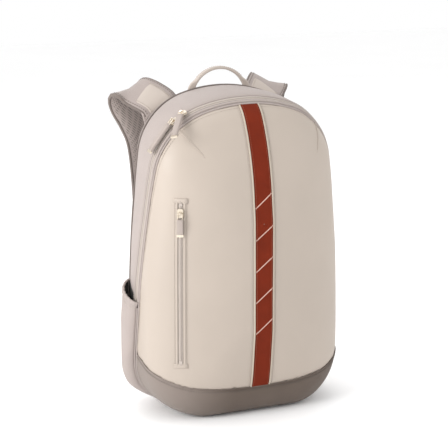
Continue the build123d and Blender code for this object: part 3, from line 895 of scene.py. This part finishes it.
def stripe_path():
    bottom = base_line(0) + 0.0006
    zs = list(np.linspace(bottom, 0.43, 150)) + list(np.linspace(0.432, 0.478, 40))
    points, normals = front_path([(0.0004, z) for z in zs])
    keep = np.array([seam_side(p) < -1.6 for p in points]) & (normals[:, 1] < 0)
    points, normals = even_path(points[keep] * (0, 1, 1), 0.0025, normals[keep])
    return points, unit_rows(smoothed(normals, 30))


def add_stripe(skin):
    points, normals = stripe_path()
    normals = unit_rows(normals * (0, 1, 1))
    piece = band("stripe_webbing", skin, points, normals, 2 * STRIPE_HALF, 0.0011, "clay_webbing", cuts=12)
    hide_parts("centre_stripe")
    for side, tag in ((-1, "left"), (1, "right")):
        cord, edge, outer = (
            skin.settle(points + np.array((side * (STRIPE_HALF + gap), 0, 0)), normals, lift)
            for gap, lift in ((0.0013, 0.0006), (-0.0022, 0.0013), (0.0052, 0.0002)))
        profile_sweep("stripe_cord_" + tag, cord, normals, round_profile(0.0013), "piping")
        stitches("stripe_stitch_" + tag, edge, normals, "stitch_clay", pitch=0.0036, length=0.0025)
        stitches("stripe_panel_stitch_" + tag, outer, normals)
    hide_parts("stripe_pipings")
    verts = []
    faces = []
    steps = np.linspace(-1, 1, 15)
    for centre in LINE_CENTRES:
        faces += moved_faces(grid_faces(len(steps), len(LINE_SECTION)), len(verts))
        for x in (STRIPE_HALF - 0.0004) * steps:
            for dz, height in LINE_SECTION:
                hit = skin.drop((x, -0.1, centre + x * LINE_SLOPE + dz), BACK)
                verts.append(np.array(hit) + np.array((0, -height, 0)))
    lines = new_piece("stripe_diagonals", verts, faces, "line_pink")
    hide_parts("stripe_lines")


# ---- zips ----------------------------------------------------------------------------
TOOTH = mirrored([(-0.32, 0.0), (-0.32, 0.75), (-0.12, 1.0)])       # along, and rise
ZIP_STITCH_GAP = 0.0086


def zip_teeth(name, points, normals, pitch, width, height):
    """Two rows of coil teeth, meeting in the middle."""
    path, facing = even_path(points, pitch, normals)
    tangent, out, side = frames_along(path, facing)
    one = tube_faces(2, len(TOOTH), round_it=False)
    verts = []
    faces = []
    for i, point in enumerate(path):
        faces += moved_faces(one, len(verts))
        for across in (0.12, -0.5) if i % 2 else (-0.12, 0.5):
            for along, rise in TOOTH:
                verts.append(point + side[i] * across * width + tangent[i] * along * pitch * 1.7
                             + out[i] * rise * height)
    return new_piece(name, verts, faces, "zip_coil")


def lip_profile(radius, side):
    """The section of the rolled cloth beside a zip, which is steeper towards the zip."""
    width = radius * 2.3
    profile = [(-width, -0.001), (-width, 0.0002), (-width * 0.55, radius * 0.72), (-0.2 * width, radius),
               (0.15 * width, radius * 0.95), (0.42 * width, radius * 0.5), (0.5 * width, -0.001)]
    return [(-side * across, height) for across, height in profile][::-side]


def add_zip(prefix, skin, points, normals, tape_width, lip_gap, lip_look, lip_radius, replaced):
    points = skin.settle(points, normals)
    _, _, across = frames_along(points, normals)
    tape = band(prefix + "_tape", skin, points, normals, tape_width, 0.0005, "zip_tape", cuts=6)
    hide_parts(*replaced[:1])
    lifted = skin.settle(points, normals, 0.0007)
    coil = zip_teeth(prefix + "_coil", lifted, normals, 0.0011, 0.0036, 0.0009)
    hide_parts(*replaced[1:])
    for side, tag in ((-1, "a"), (1, "b")):
        lip, gap, row = (
            skin.settle(points + across * (side * out), normals, lift)
            for out, lift in ((lip_gap, 0.0001), (lip_gap - lip_radius * 1.25, 0.0004),
                              (ZIP_STITCH_GAP, lip_radius * 0.72)))
        # Thin dark cords beside the coil, in the dark thread's finish: painted shadow where the lips overhang
        # the tape.
        profile_sweep(prefix + "_shadow_cord_" + tag, gap, normals, round_profile(0.0005, 6), "dark_stitch_and_shadow")
        profile_sweep(prefix + "_lip_" + tag, lip, normals, lip_profile(lip_radius, side), lip_look)
        stitches(prefix + "_stitch_" + tag, row, normals, pitch=0.0034, length=0.0023)


ZIP_LOW_Z = 0.172
ZIP_CENTRE = 12
POCKET_FOOT = np.array((-0.123, -0.0668, 0.091))
POCKET_HEAD = np.array((-0.1194, -0.0626, 0.336))
POCKET_FACING = np.array((-0.53, -0.848, 0.0))


def bar_tack(name, skin, place, normal, across, length, count=16):
    """A dense block of zigzag thread."""
    normal = np.array(normal) / np.linalg.norm(normal)
    across = np.array(across) - normal * np.dot(across, normal)
    across /= np.linalg.norm(across)
    along = np.cross(normal, across)
    points = []
    for k in range(count + 1):
        at = place + across * (k / count - 0.5) * length + along * (0.0011 if k % 2 else -0.0011)
        points.append(skin.under(at + normal * 0.001, normal) + normal * 0.0009)
    profile_sweep(name, points, [normal] * len(points), round_profile(0.0005, 6), "stitch_cream")


def add_zips(skin):
    points, normals = trace(lambda p: seam_side(p) - ZIP_CENTRE)
    order = np.argsort(np.arctan2(points[:, 0], points[:, 2] - 0.2))
    points, normals = points[order], normals[order]
    keep = points[:, 2] > ZIP_LOW_Z
    points, normals = even_path(points[keep], 0.003, normals[keep])
    add_zip("main_zip", skin, points, normals, 0.012, 0.0062, "gusset_fabric", 0.0015,
            ("main_zip_tape", "main_zip_coil"))
    for tag, end in (("left", 0), ("right", -1)):
        bar_tack("main_zip_tack_" + tag, skin, points[end], normals[end], BACK, 0.016)
    steps = np.linspace(0, 1, 84)[:, None]
    line = POCKET_FOOT * (1 - steps) + POCKET_HEAD * steps
    add_zip("pocket_zip", skin, line, facing_all(POCKET_FACING, line), 0.0090, 0.0052, "cream_coated", 0.0014,
            ("pocket_zip_tape", "pocket_zip_coil"))
    side = np.cross((0, 0, 1), POCKET_FACING)
    for tag, place, past in (("foot", line[1], -0.004), ("head", line[-2], 0.004)):
        bar_tack("pocket_tack_" + tag, skin, place, POCKET_FACING, side, 0.017)
        patch = np.array([place + side * w * 0.0105 for w in (-1, -0.5, 0, 0.5, 1)]) + np.array((0, 0, past))
        facing = [POCKET_FACING] * len(patch)
        profile_sweep("pocket_end_" + tag, skin.settle(patch, facing, 0.0004), facing,
                      flat_profile(0.007, -0.001, 0.001), "cream_coated")


# ---- darts on the front --------------------------------------------------------------
DARTS = {
    "left": [(-0.113, -0.030, 0.438), (-0.104, -0.047, 0.427), (-0.094, -0.060, 0.413),
             (-0.084, -0.069, 0.399)],
    "right": [(0.113, -0.037, 0.433), (0.111, -0.048, 0.421), (0.107, -0.057, 0.407), (0.103, -0.063, 0.393)],
}
DART_FOLD = [(-0.0042, -0.0004), (-0.0026, 0.0004), (-0.001, 0.0011), (0.0003, 0.0012), (0.0008, 0.0007),
             (0.0009, -0.0006)]
INSIDE = Vector((0, 0.04, 0.33))


def add_darts(skin):
    for tag, route in DARTS.items():
        hits = []
        for point in even_path(np.array(route), 0.0016):
            inward = INSIDE - Vector(point)
            hits.append(skin.tree.ray_cast(Vector(point) - inward.normalized() * 0.03, inward))
        normals = unit_rows(smoothed([np.array(hit[1]) for hit in hits], 6))
        placed = smoothed([np.array(hit[0]) for hit in hits], 4)
        fade = [sqrt(1 - t) for t in np.linspace(0, 1, len(placed))]
        grow = [(0.3 + 0.7 * f, 0.1 + 0.9 * f) for f in fade]
        profile_sweep("dart_" + tag, placed, normals, DART_FOLD, "cream_coated", scale=grow)
        stitches("dart_stitch_" + tag, placed[:-3] + normals[:-3] * 0.0009, normals[:-3], pitch=0.0036,
                 length=0.0024, size=0.0003)


# ---- side pockets --------------------------------------------------------------------
MOUTH_FRONT_Z = 0.173
MOUTH_REAR_Z = 0.199
POCKET_FRONT_Y = 0.006
POCKET_REAR_Y = 0.058


def mouth_z(y):
    part = (y - POCKET_FRONT_Y) / (POCKET_REAR_Y - POCKET_FRONT_Y)
    return MOUTH_FRONT_Z + (MOUTH_REAR_Z - MOUTH_FRONT_Z) * part


def pocket_bulge(u, z, top):
    """How far the pocket's cloth stands off the body, across the pocket and up it."""
    across = (4 * u * (1 - u)) ** 0.6
    upright = sin(pi / 2 * np.clip((z - 0.010) / 0.034, 0, 1))
    pulled_in = 1 - 0.2 * np.clip(1 - (top - z) / 0.05, 0, 1) ** 2
    return 0.0155 * across * upright * pulled_in


def pocket_grid(skin, sign, inset=0.0, top=0.0, bottom=0.016, rows=58, columns=40):
    """Points over one side pocket, from floor to mouth and from front to rear."""
    grid = np.zeros((rows, columns, 3))
    for i, v in enumerate(np.linspace(0, 1, rows)):
        for j, u in enumerate(np.linspace(0, 1, columns)):
            y = POCKET_FRONT_Y + 0.0004 + (POCKET_REAR_Y - POCKET_FRONT_Y - 0.0008) * u
            z = bottom + (mouth_z(y) - top - bottom) * v
            seam_y = (SEAM_FOOT_Y + 3.4) * MM - SEAM_SLOPE * z
            y = max(y, seam_y + (POCKET_REAR_Y - seam_y) * u)
            wave = u * 46 + noise.noise(Vector((u * 3, v * 2, sign))) * 3
            gather = (v ** 4) * sin(wave) * 0.0006 * sin(pi * u)
            slack = noise.noise(Vector((sign * 5, y * 34, z * 22))) * 0.0020 * sin(pi * u) * sin(pi * v)
            hit = skin.tree.ray_cast(Vector((sign * 0.3, y, z)), Vector((-sign, 0, 0)), 0.3)[0]
            wall = abs(hit[0]) if hit is not None else 0.12
            stand = pocket_bulge(u, z, mouth_z(y)) - inset + gather + slack
            grid[i, j] = (sign * (wall + max(stand + 0.0014, 0.0014 - inset * 0.7)), y, z)
    return grid


def pocket_wall(skin, sign):
    """Points on the body's side, inside the mouth of a pocket, for a black sheet of painted shade."""
    wall = []
    for z in np.linspace(0.1, 0.196, 24):
        near = max(0.009, (SEAM_FOOT_Y + 13) * MM - SEAM_SLOPE * z)
        for y in np.linspace(near, 0.0565, 16):
            top = min(z, mouth_z(y) + 0.001)
            hit = skin.tree.ray_cast(Vector((sign * 0.165, y, top)), Vector((-sign, 0, 0)), 0.3)[0]
            wall.append((hit[0] + sign * 0.0005, y, top))
    return np.array(wall).reshape(24, 16, 3)


RIM_WIDTH = 0.0065
RIM = [(-1 / 2, 0.0), *mirrored([(-1 / 2, 0.0012), (-1 / 3, 0.0019), (0, 0.0021)]),
       *mirrored([(1 / 2, -0.0006), (1 / 3, -0.0013), (0, -0.0015)])]


def add_side_pocket(skin, tag):
    sign = 1 if tag == "right" else -1
    outward = (float(sign), 0.0, 0.0)

    def sheet(name, grid, reverse, look):
        return new_piece(name + tag, grid.reshape(-1, 3), faces_for(grid, reverse), look)

    grid = pocket_grid(skin, sign)
    cover = sheet("side_pocket_cloth_", grid, sign < 0, "gusset_fabric")
    thicken(cover, 0.0011)
    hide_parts("side_pocket_" + tag)
    # The black sheets inside the pocket are painted shade: one inside the pocket cloth, one on the body's side
    # within the mouth.
    inner = pocket_grid(skin, sign, inset=0.0016, top=0.002, bottom=0.09, rows=26)
    thicken(sheet("side_pocket_inner_shade_", inner, sign < 0, "black_lining"), 0.0004)
    sheet("side_pocket_wall_shade_", pocket_wall(skin, sign), sign > 0, "black_lining")
    mouth = grid[-1]
    path, facing = even_path(mouth, 0.0012, facing_all((float(sign), 0.0, 0.1), mouth))
    grow = [(1.0, 1.0 + 0.16 * sin(k * 1.9) * (0 < k < len(path) - 1)) for k in range(len(path))]
    rim = profile_sweep("side_pocket_edge_" + tag, path - np.array((0, 0, RIM_WIDTH / 2 - 0.001)), facing,
                        [(RIM_WIDTH * across, height) for across, height in RIM], "gusset_fabric", scale=grow)
    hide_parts("pocket_binding_" + tag)
    for at, edge in (("front", grid[:-3, 0]), ("rear", grid[:-3, -1])):
        row, rise = even_path(edge, 0.0025, facing_all(outward, edge))
        profile_sweep("side_pocket_seam_" + at + "_" + tag, row, rise, round_profile(0.0011, 8),
                      "gusset_fabric")
    line = grid[-5, 1:-1]
    row, rise = even_path(line, 0.001, facing_all(outward, line))
    stitches("side_pocket_stitch_" + tag, row, rise, lift=0.0004)


# ---- shoulder straps -----------------------------------------------------------------
STRAP_ROUTE = [
    ((-82, 87.5, 447), 0.15), ((-88, 95, 460), 0.28), ((-100, 109, 470), 0.38), ((-112, 123, 476), 0.42),
    ((-119, 133, 475.5), 0.42), ((-121, 139, 467), 0.40), ((-117, 137, 452), 0.34), ((-108, 127, 430), 0.24),
    ((-99, 118, 400), 0.14), ((-93, 116, 345), 0.05), ((-90, 116, 270), -0.05), ((-94, 112, 200), -0.12),
    ((-103, 106, 140), -0.16),
]
STRAP_HALF = 0.031
STRAP_THICK = 0.008
OVERLAY_ROWS = 13


def strap_frames(sign, step=0.004):
    """Centre, along, across and outward directions down one strap, by Catmull-Rom."""
    places = np.array([point for point, _ in STRAP_ROUTE], float) * MM * (sign, 1, 1)
    knots = np.column_stack([places, [(sign, 0.0, rise) for _, rise in STRAP_ROUTE]])
    ends = np.concatenate([knots[:1], knots, knots[-1:]])
    dense = []
    for i in range(len(knots) - 1):
        for t in np.linspace(0, 1, 12, endpoint=False):
            basis = (-t ** 3 + 2 * t ** 2 - t, 3 * t ** 3 - 5 * t ** 2 + 2, -3 * t ** 3 + 4 * t ** 2 + t,
                     t ** 3 - t ** 2)
            dense.append(sum(b * q for b, q in zip(basis, ends[i:i + 4])) / 2)
    dense = np.array([*dense, knots[-1]])
    path, width = even_path(dense[:, :3], step, dense[:, 3:])
    along = unit_rows(np.gradient(path, axis=0))
    width = unit_rows(width - along * np.sum(width * along, 1)[:, None])
    out = np.cross(width, along)
    return path, along, width, out if out[-1][1] > 0 else -out


def wrinkles(depth, fine_across, fine_run, seed):
    """How far cloth stands off a strap, from the place across it and the run along it."""
    return lambda across, run: depth * noise.noise(Vector((across * fine_across, run * fine_run, seed)))


def strap_sweep(name, frames, profile, look, body, wrinkle, slot=None, start=0, stop=None):
    path, _, width, out = (part[start:stop] for part in frames)
    run = run_along(path)
    fades = [min(1.0, (len(path) - 1 - i) / 4 + 0.55, i / 3 + 0.75) for i in range(len(path))]
    profiles = [[(across, height * fade + wrinkle(across, at)) for across, height in profile]
                for fade, at in zip(fades, run)]
    verts, uvs = swept(path, width, out, profiles, run)
    piece = new_piece(name, verts, tube_faces(len(path), len(profile)), look, body, uvs=uvs, slot=slot)
    fix_normals(piece)
    return piece


def superellipse(half, thick, count=40, square=0.34, crown=0.75):
    turns = [(cos(a), sin(a)) for a in (2 * pi * k / count for k in range(count))]
    return [(half * np.sign(c) * abs(c) ** square, thick / 2 * np.sign(s) * abs(s) ** crown) for c, s in turns]


COVER_TOP = mirrored([(-0.022, 0.0030), (-0.0212, 0.0044), (-0.0165, 0.0049), (-0.0088, 0.0053), (0, 0.0054)])
MESH_UNDER = mirrored([(-0.027, -0.0026), (-0.0262, -0.0040), (-0.015, -0.0047), (0, -0.0050)])
ROOT_X = 0.082
ROOT_ROUTE = [(84.2, 404), (84.6, 412), (84.9, 422), (85.4, 432), (86.3, 441), (88.6, 451), (91.0, 455)]
ROOT_BOX = [(-0.024, 0.409), (0.024, 0.409), (0.024, 0.430), (-0.024, 0.430), (-0.024, 0.409), (0.024, 0.430)]


def add_strap(tag):
    sign = 1 if tag == "left" else -1
    body = "strap_" + tag
    frames = strap_frames(sign)
    path, _, width, out = frames
    creases = wrinkles(0.0005, 40, 30, sign * 4)
    pad = strap_sweep("strap_foam_" + tag, frames, superellipse(STRAP_HALF, STRAP_THICK), "strap_edge", body,
                      creases, slot="webbing")
    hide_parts("strap_pad_" + tag)
    overlay = strap_sweep("strap_cover_" + tag, frames, COVER_TOP, "strap_cream", body, creases, start=1,
                          stop=OVERLAY_ROWS)
    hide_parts("strap_overlay_" + tag)
    drape = wrinkles(0.0006, 60, 70, sign * 9)
    strap_sweep("strap_mesh_" + tag, frames, MESH_UNDER, "mesh_fabric", body, drape, start=1, stop=-2)
    cream, dark = ("stitch_cream", 0.0049, OVERLAY_ROWS - 1), ("dark_stitch_and_shadow", 0.0036, -3)
    for edge, offset, (look, height, last) in (
            ("a", -0.0198, cream), ("b", 0.0198, cream), ("c", -0.0268, dark), ("d", 0.0268, dark)):
        row = path + width * offset + out * height
        stitches("strap_stitch_" + edge + "_" + tag, row[2:last], out[2:last], look, body, pitch=0.004,
                 size=0.00045)
    for edge, side in (("a", -1), ("b", 1)):
        row = path + width * side * (STRAP_HALF - 0.0006) - out * 0.0004
        profile_sweep("strap_binding_" + edge + "_" + tag, row[1:-1], out[1:-1],
                      [(a * 0.0017, h * 0.0031) for a, h in round_profile(1.0)], "binding_cloth", body)
    foot_path = even_path([(-sign * ROOT_X, y * MM, z * MM) for y, z in ROOT_ROUTE], 0.002)
    foot_path[:, 0] -= sign * np.clip((foot_path[:, 2] - 0.436) * 0.22, 0, 0.005)
    flat = [(a * 1.04, h * 0.5) for a, h in superellipse(STRAP_HALF, STRAP_THICK, 36, 0.3, 0.6)]
    foot = profile_sweep("strap_root_" + tag, foot_path, facing_all(BACK, foot_path), flat, "strap_edge",
                         body=None, slot="webbing")
    fix_normals(foot)
    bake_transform(foot)
    if tag == "left":
        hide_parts("strap_feet")
    row = even_path([(-sign * ROOT_X + x, 0.0869 + (z - 0.404) * 0.016, z) for x, z in ROOT_BOX], 0.002)
    stitches("strap_root_stitch_" + tag, row, facing_all(BACK, row), "dark_stitch_and_shadow")


# ---- ladder locks and lower webbing --------------------------------------------------
ANCHOR = np.array((-0.120, 0.0846, 0.054))
LOCK_ORIGIN = np.array((-0.1054, 0.1044, 0.1243))
LOCK_END = np.array((-0.1091, 0.1019, 0.0994))
TAIL_TOP = np.array((-0.1072, 0.1061, 0.1122))
TAB_CORNERS = np.array([(-0.122, 0.028), (-0.100, 0.020), (-0.106, 0.056), (-0.134, 0.056)])
TAB_LEVELS = [(1.0, 0.0804), (1.0, 0.0816), (0.965, 0.0823), (0.6, 0.0826)]       # size, and y
LOOP_R = 0.00255
LOOP_END = [(-0.0158, 0.0007), (-0.010, 0.0007), (-0.0045, 0.0013)]
WEB_WIDTH = 0.025


def webbing_strip(name, points, normals, body, thickness=0.0013, width=WEB_WIDTH):
    half = width / 2
    flat, eased = thickness * 0.5, thickness * 0.45
    upper = [(-half, 0)] + mirrored([(-half + 0.0003, eased), (-half * 0.6, flat), (0, flat)])
    profile = upper + [(-across, -height) for across, height in upper]
    piece = profile_sweep(name, points, normals, profile, "webbing", body)
    fix_normals(piece)
    return piece


def add_lower_webbing(tag):
    sign = 1 if tag == "left" else -1
    lock_body = "lock_" + tag
    _, along, width, out = (part[-1] for part in strap_frames(sign))
    anchor, lock, end, tail_top = (p * (sign, 1, 1) for p in (ANCHOR, LOCK_ORIGIN, LOCK_END, TAIL_TOP))
    steps = np.linspace(0, 1, 30)[:, None]
    facing = np.cross(width, (anchor - end) / np.linalg.norm(anchor - end))
    facing *= np.sign(facing[1])
    points = end * (1 - steps) + anchor * steps + facing * (0.0012 * np.sin(steps * pi))
    strip = webbing_strip("lower_webbing_" + tag, points, facing_all(facing, points), None)
    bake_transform(strip)
    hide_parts("strap_webbing_" + tag)
    tail = np.array([tail_top + np.array((0.0, 0.0009 * sin(d * 60), -d)) for d in np.linspace(0, 0.084, 40)])
    hang = webbing_strip("webbing_tail_" + tag, tail, facing_all(BACK, tail), lock_body)
    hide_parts("strap_tail_" + tag)
    hem = tail[-9:-1] + np.array((0, 0.0013, 0))
    webbing_strip("tail_hem_" + tag, hem, facing_all(BACK, hem), lock_body, 0.0012, 0.0246)
    bar_row = [tail[-6] + np.array((x, 0.0021, 0)) for x in np.linspace(-0.0105, 0.0105, 9)]
    stitches("tail_stitch_" + tag, bar_row, facing_all(BACK, bar_row), "dark_stitch_and_shadow", lock_body, 0.0026, 0.0019)
    turns = np.linspace(-0.62 * pi, 0.62 * pi, 22)
    loop = LOOP_END + [(LOOP_R * cos(a), -LOOP_R * sin(a)) for a in turns]
    loop += [(a, -h) for a, h in LOOP_END[::-1]]
    ring = np.array([lock + along * a + out * h for a, h in loop])
    normals = np.cross(np.gradient(ring, axis=0), width)
    if np.median(np.sum((ring - lock + along * 0.004) * normals, 1)) < 0:
        normals = -normals
    wrap = webbing_strip("lock_loop_" + tag, ring, normals, "strap_" + tag, 0.0011)
    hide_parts("strap_loop_" + tag)
    add_tab(tag, TAB_CORNERS * (sign, 1))


def add_tab(tag, corners):
    """The four-cornered cloth tab that holds the lower webbing to the back panel."""
    centre = corners.mean(0)
    edge = [a * (1 - t) + b * t for a, b in zip(corners, np.roll(corners, -1, 0))
            for t in np.linspace(0, 1, 8, endpoint=False)]

    def ring(points, grow, y):
        return [(q[0], y, q[1]) for q in (centre + (p - centre) * grow for p in points)]

    verts = [point for grow, y in TAB_LEVELS for point in ring(edge, grow, y)]
    tab = new_piece("webbing_tab_" + tag, verts, tube_faces(len(TAB_LEVELS), len(edge), turn=-1), "base_fabric")
    fix_normals(tab)
    if tag == "left":
        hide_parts("webbing_tabs")
    row = ring(edge + edge[:1], 0.82, 0.0824)
    stitches("webbing_tab_stitch_" + tag, row, facing_all(BACK, row), "dark_stitch_and_shadow")


# ---- carry handle --------------------------------------------------------------------
HANDLE_Y = 0.062
HANDLE_HALF = 0.040
HANDLE_PIVOT_Z = 0.495
HANDLE_TOP_Z = 0.515
HANDLE_FOOT = [(-0.0468, 0.4780), (-0.0455, 0.4830), (-0.0436, 0.4885)]
HANDLE_STEP = 0.0016
HANDLE_SIDES = 28
FOOT_SIZE = np.array((1.3, 6.4)) * MM       # half width, and thickness, where it is sewn in
GRIP_SIZE = np.array((5.0, 2.2)) * MM


def add_handle():
    rise = HANDLE_TOP_Z - HANDLE_PIVOT_Z
    radius = (HANDLE_HALF ** 2 + rise ** 2) / (2 * rise)
    middle = HANDLE_TOP_Z - radius
    low = atan2(HANDLE_PIVOT_Z - middle, HANDLE_HALF)
    inner_r = radius - 0.002
    arc = [(-cos(a) * inner_r, sin(a) * inner_r + middle) for a in np.linspace(low, pi - low, 60)]
    line = HANDLE_FOOT + arc + [(-x, z) for x, z in HANDLE_FOOT[::-1]]
    path = smoothed(even_path([(x, HANDLE_Y, z) for x, z in line], HANDLE_STEP), 3)
    normals = np.cross(np.gradient(path, axis=0), BACK)
    normals *= np.sign(normals[:, 2])[:, None]
    _, out, side = frames_along(path, normals)
    profiles = []
    for t in np.linspace(-1, 1, len(path)):
        fold = np.clip((0.98 - abs(t)) / 0.36, 0, 1)
        fold = fold * fold * (3 - 2 * fold)
        half, thick = FOOT_SIZE * (1 - fold) + GRIP_SIZE * fold
        profiles.append(superellipse(half, 2 * thick, HANDLE_SIDES, 0.5, 0.6))
    verts, uvs = swept(path, side, out, profiles, HANDLE_STEP * np.arange(len(path)))
    faces = tube_faces(len(path), HANDLE_SIDES)
    handle = new_piece("handle_grip", verts, faces, "strap_cream", body=None, uvs=uvs)
    fix_normals(handle)
    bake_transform(handle)
    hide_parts("carry_handle", "handle_feet")
    inner = slice(16, len(path) - 16)
    for tag, offset in (("front", -0.0039), ("rear", 0.0039)):
        row = path[inner] + side[inner] * offset + out[inner] * 0.0018
        stitches("handle_stitch_" + tag, row, out[inner], body="handle", pitch=0.0036, length=0.0024)


# ---- back pads -----------------------------------------------------------------------
def cloth_travel(piece, before, frames=20, pressure=4.0):
    """How far each point of a sewn-down cloth moves when it swells in a short simulation."""
    pin = piece.vertex_groups.new(name="sewn")
    low = before[:, 1].min()
    pin.add([int(k) for k in np.where(before[:, 1] < low + 0.0016)[0]], 1.0, "REPLACE")
    modifier = piece.modifiers.new("cloth", "CLOTH")
    settings = modifier.settings
    settings.use_pressure = True
    settings.uniform_pressure_force = pressure
    settings.effector_weights.gravity = 0
    settings.vertex_group_mass = "sewn"
    settings.quality = 5
    modifier.point_cache.frame_start = 1
    modifier.point_cache.frame_end = frames
    scene = bpy.context.scene
    for number in range(1, frames + 1):
        scene.frame_set(number)
    graph = bpy.context.evaluated_depsgraph_get()
    result = piece.evaluated_get(graph).to_mesh()
    after = np.array([vert.co[:] for vert in result.vertices])
    piece.evaluated_get(graph).to_mesh_clear()
    piece.modifiers.clear()
    piece.vertex_groups.clear()
    scene.frame_set(1)
    return after - before


def inflate(piece, voxel, cap):
    """Lets cloth swell, and keeps the result, with each point's travel capped."""
    remesh = piece.modifiers.new("remesh", "REMESH")
    remesh.mode = "VOXEL"
    remesh.voxel_size = voxel
    apply_modifiers(piece)
    before = np.array([vert.co[:] for vert in piece.data.vertices])
    travel = cloth_travel(piece, before)
    length = np.linalg.norm(travel, axis=1)
    keep = np.where(length > 0, np.tanh(length / cap) * cap / np.maximum(length, 1e-9), 0)
    for vert, place in zip(piece.data.vertices, before + travel * keep[:, None]):
        vert.co = place
    smooth = piece.modifiers.new("even", "SMOOTH")
    smooth.iterations = 3
    smooth.factor = 0.4
    subdivide = piece.modifiers.new("finer", "SUBSURF")
    subdivide.levels = 1
    apply_modifiers(piece)
    for polygon in piece.data.polygons:
        polygon.use_smooth = True


def rounded_rectangle(width, height, radius, step=0.003):
    points = []
    for sx, sz, start in ((1, 1, 0), (-1, 1, 90), (-1, -1, 180), (1, -1, 270)):
        centre = np.array((sx * (width / 2 - radius), sz * (height / 2 - radius)))
        for a in np.linspace(radians(start), radians(start + 90), 12):
            points.append(centre + radius * np.array((cos(a), sin(a))))
    points.append(points[0])
    return even_path(np.column_stack([points, np.zeros(len(points))]), step)[:-1, :2]


PADS = {                    # middle x and z, width and height
    "back_pad_left": (-0.066, 0.262, 0.092, 0.268),
    "back_pad_right": (0.066, 0.262, 0.092, 0.268),
    "lumbar_pad": (0.0, 0.082, 0.180, 0.074),
}
PAD_LEVELS = [(0.0, 0.0804), (0.0, 0.0822), (0.0012, 0.0842), (0.0045, 0.0858), (0.010, 0.0864)]  # inset, and y
CHANNEL_HALF = 0.0035


def add_back_pads():
    for node, (x, z, width, height) in PADS.items():
        ring = rounded_rectangle(width - 0.003, height - 0.003, 0.018)
        verts = []
        for inset, y in PAD_LEVELS:
            grow = np.array(((width - 2 * inset) / width, (height - 2 * inset) / height))
            verts += [(x + p[0] * grow[0], y, z + p[1] * grow[1]) for p in ring]
        faces = tube_faces(len(PAD_LEVELS), len(ring), turn=-1)
        pad = new_piece(node + "_cushion", verts, faces, "mesh_fabric")
        fix_normals(pad)
        inflate(pad, voxel=0.004, cap=0.0035)
        channel(pad, x, z, height)
        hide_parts(node)
        rim = [(x + p[0] * 1.012, 0.0812, z + p[1] * 1.006) for p in ring]
        fix_normals(profile_sweep(node + "_cord", rim, facing_all(BACK, rim), round_profile(0.0014, 8),
                                  "binding_cloth", closed=True))


def channel(pad, x, z, height):
    """Presses sewn channels into a pad: across a tall one, and upright in a low one."""
    if height < 0.1:
        axis, lines = 0, [x - 0.045, x + 0.045]
    else:
        count = max(1, round(height / 0.068))
        axis, lines = 2, [z + height * (k / count - 0.5) for k in range(1, count)]
    for vert in pad.data.vertices:
        if vert.co.y >= 0.0825:
            press = sum(np.exp(-((vert.co[axis] - line) / CHANNEL_HALF) ** 2) for line in lines)
            vert.co.y -= 0.0036 * min(1.0, press) * min(1.0, (vert.co.y - 0.0812) / 0.006)


# ---- zip pulls -----------------------------------------------------------------------
def node_axes(node):
    """Middle, and the long, broad and thin directions of a CAD node with their half lengths."""
    points = np.array([vert.co[:] for vert in frame["nodes"][node].data.vertices])
    points = np.unique(np.round(points, 6), axis=0)
    centre = points.mean(0)
    _, _, axes = np.linalg.svd(points - centre, full_matrices=False)
    reaches = [(points - centre) @ axis for axis in axes]
    middle = centre + sum(axis * (reach.min() + reach.max()) / 2 for axis, reach in zip(axes, reaches))
    return middle, axes, [(reach.max() - reach.min()) / 2 for reach in reaches]


PULLS = {
    "pocket_zip_pull": "pocket_pull",
    "main_zip_left_pull": "left_pull",
    "main_zip_right_pull": "right_pull",
}
PULL_INSET = 0.0014         # of the stitches, from the edge of the tape


def add_pulls():
    steps = np.linspace(-1, 1, 26)
    grow = [(1.0, 1.0 + 0.22 * (abs(t) < 0.9) * (0.4 + 0.6 * cos(t * pi / 2))) for t in steps]
    for node, body in PULLS.items():
        middle, (long_way, broad, thin), (half_long, half_broad, half_thin) = node_axes(node)
        path = [middle + long_way * half_long * t for t in steps]
        profile = superellipse(half_broad, 2 * half_thin, 24, 0.3, 0.5)
        tape = profile_sweep(node + "_tape", path, [thin] * len(path), profile, "pull_tape", body, scale=grow)
        fix_normals(tape)
        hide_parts(node)
        ring = rounded_rectangle(2 * (half_long - PULL_INSET), 2 * (half_broad - PULL_INSET), 0.001, 0.0012)
        for tag, face in (("a", 1), ("b", -1)):
            proud = thin * face * (half_thin * 1.1 + 0.0001)
            row = [middle + long_way * p[0] + broad * p[1] + proud for p in ring]
            stitches(node + "_stitch_" + tag, row, [thin * face] * len(row), body=body, pitch=0.0019,
                     length=0.0013, size=0.00022, lift=0.0)


# ---- CAD nodes that stay -------------------------------------------------------------
def finish_cad_nodes():
    slots = {row["node"]: row["material_slot"] for row in frame["record"]["subparts"]}
    for node, item in frame["nodes"].items():
        look = LOOKS.get(slots.get(node, ""))
        if look is None:
            continue
        if len(item.data.materials) == 0:
            item.data.materials.append(look)
        for index in range(len(item.data.materials)):
            item.data.materials[index] = look


add_camera()
add_stage()
add_body()
add_seams()
add_base_trim()
SHELL = Skin(["front_shell", "base_shell", "foot_shell", "side_band", "back_shell"])
add_stripe(SHELL)
add_zips(SHELL)
add_darts(SHELL)
for end_name in ("left", "right"):
    add_side_pocket(SHELL, end_name)
    add_strap(end_name)
    add_lower_webbing(end_name)
add_handle()
add_back_pads()
add_pulls()
finish_cad_nodes()
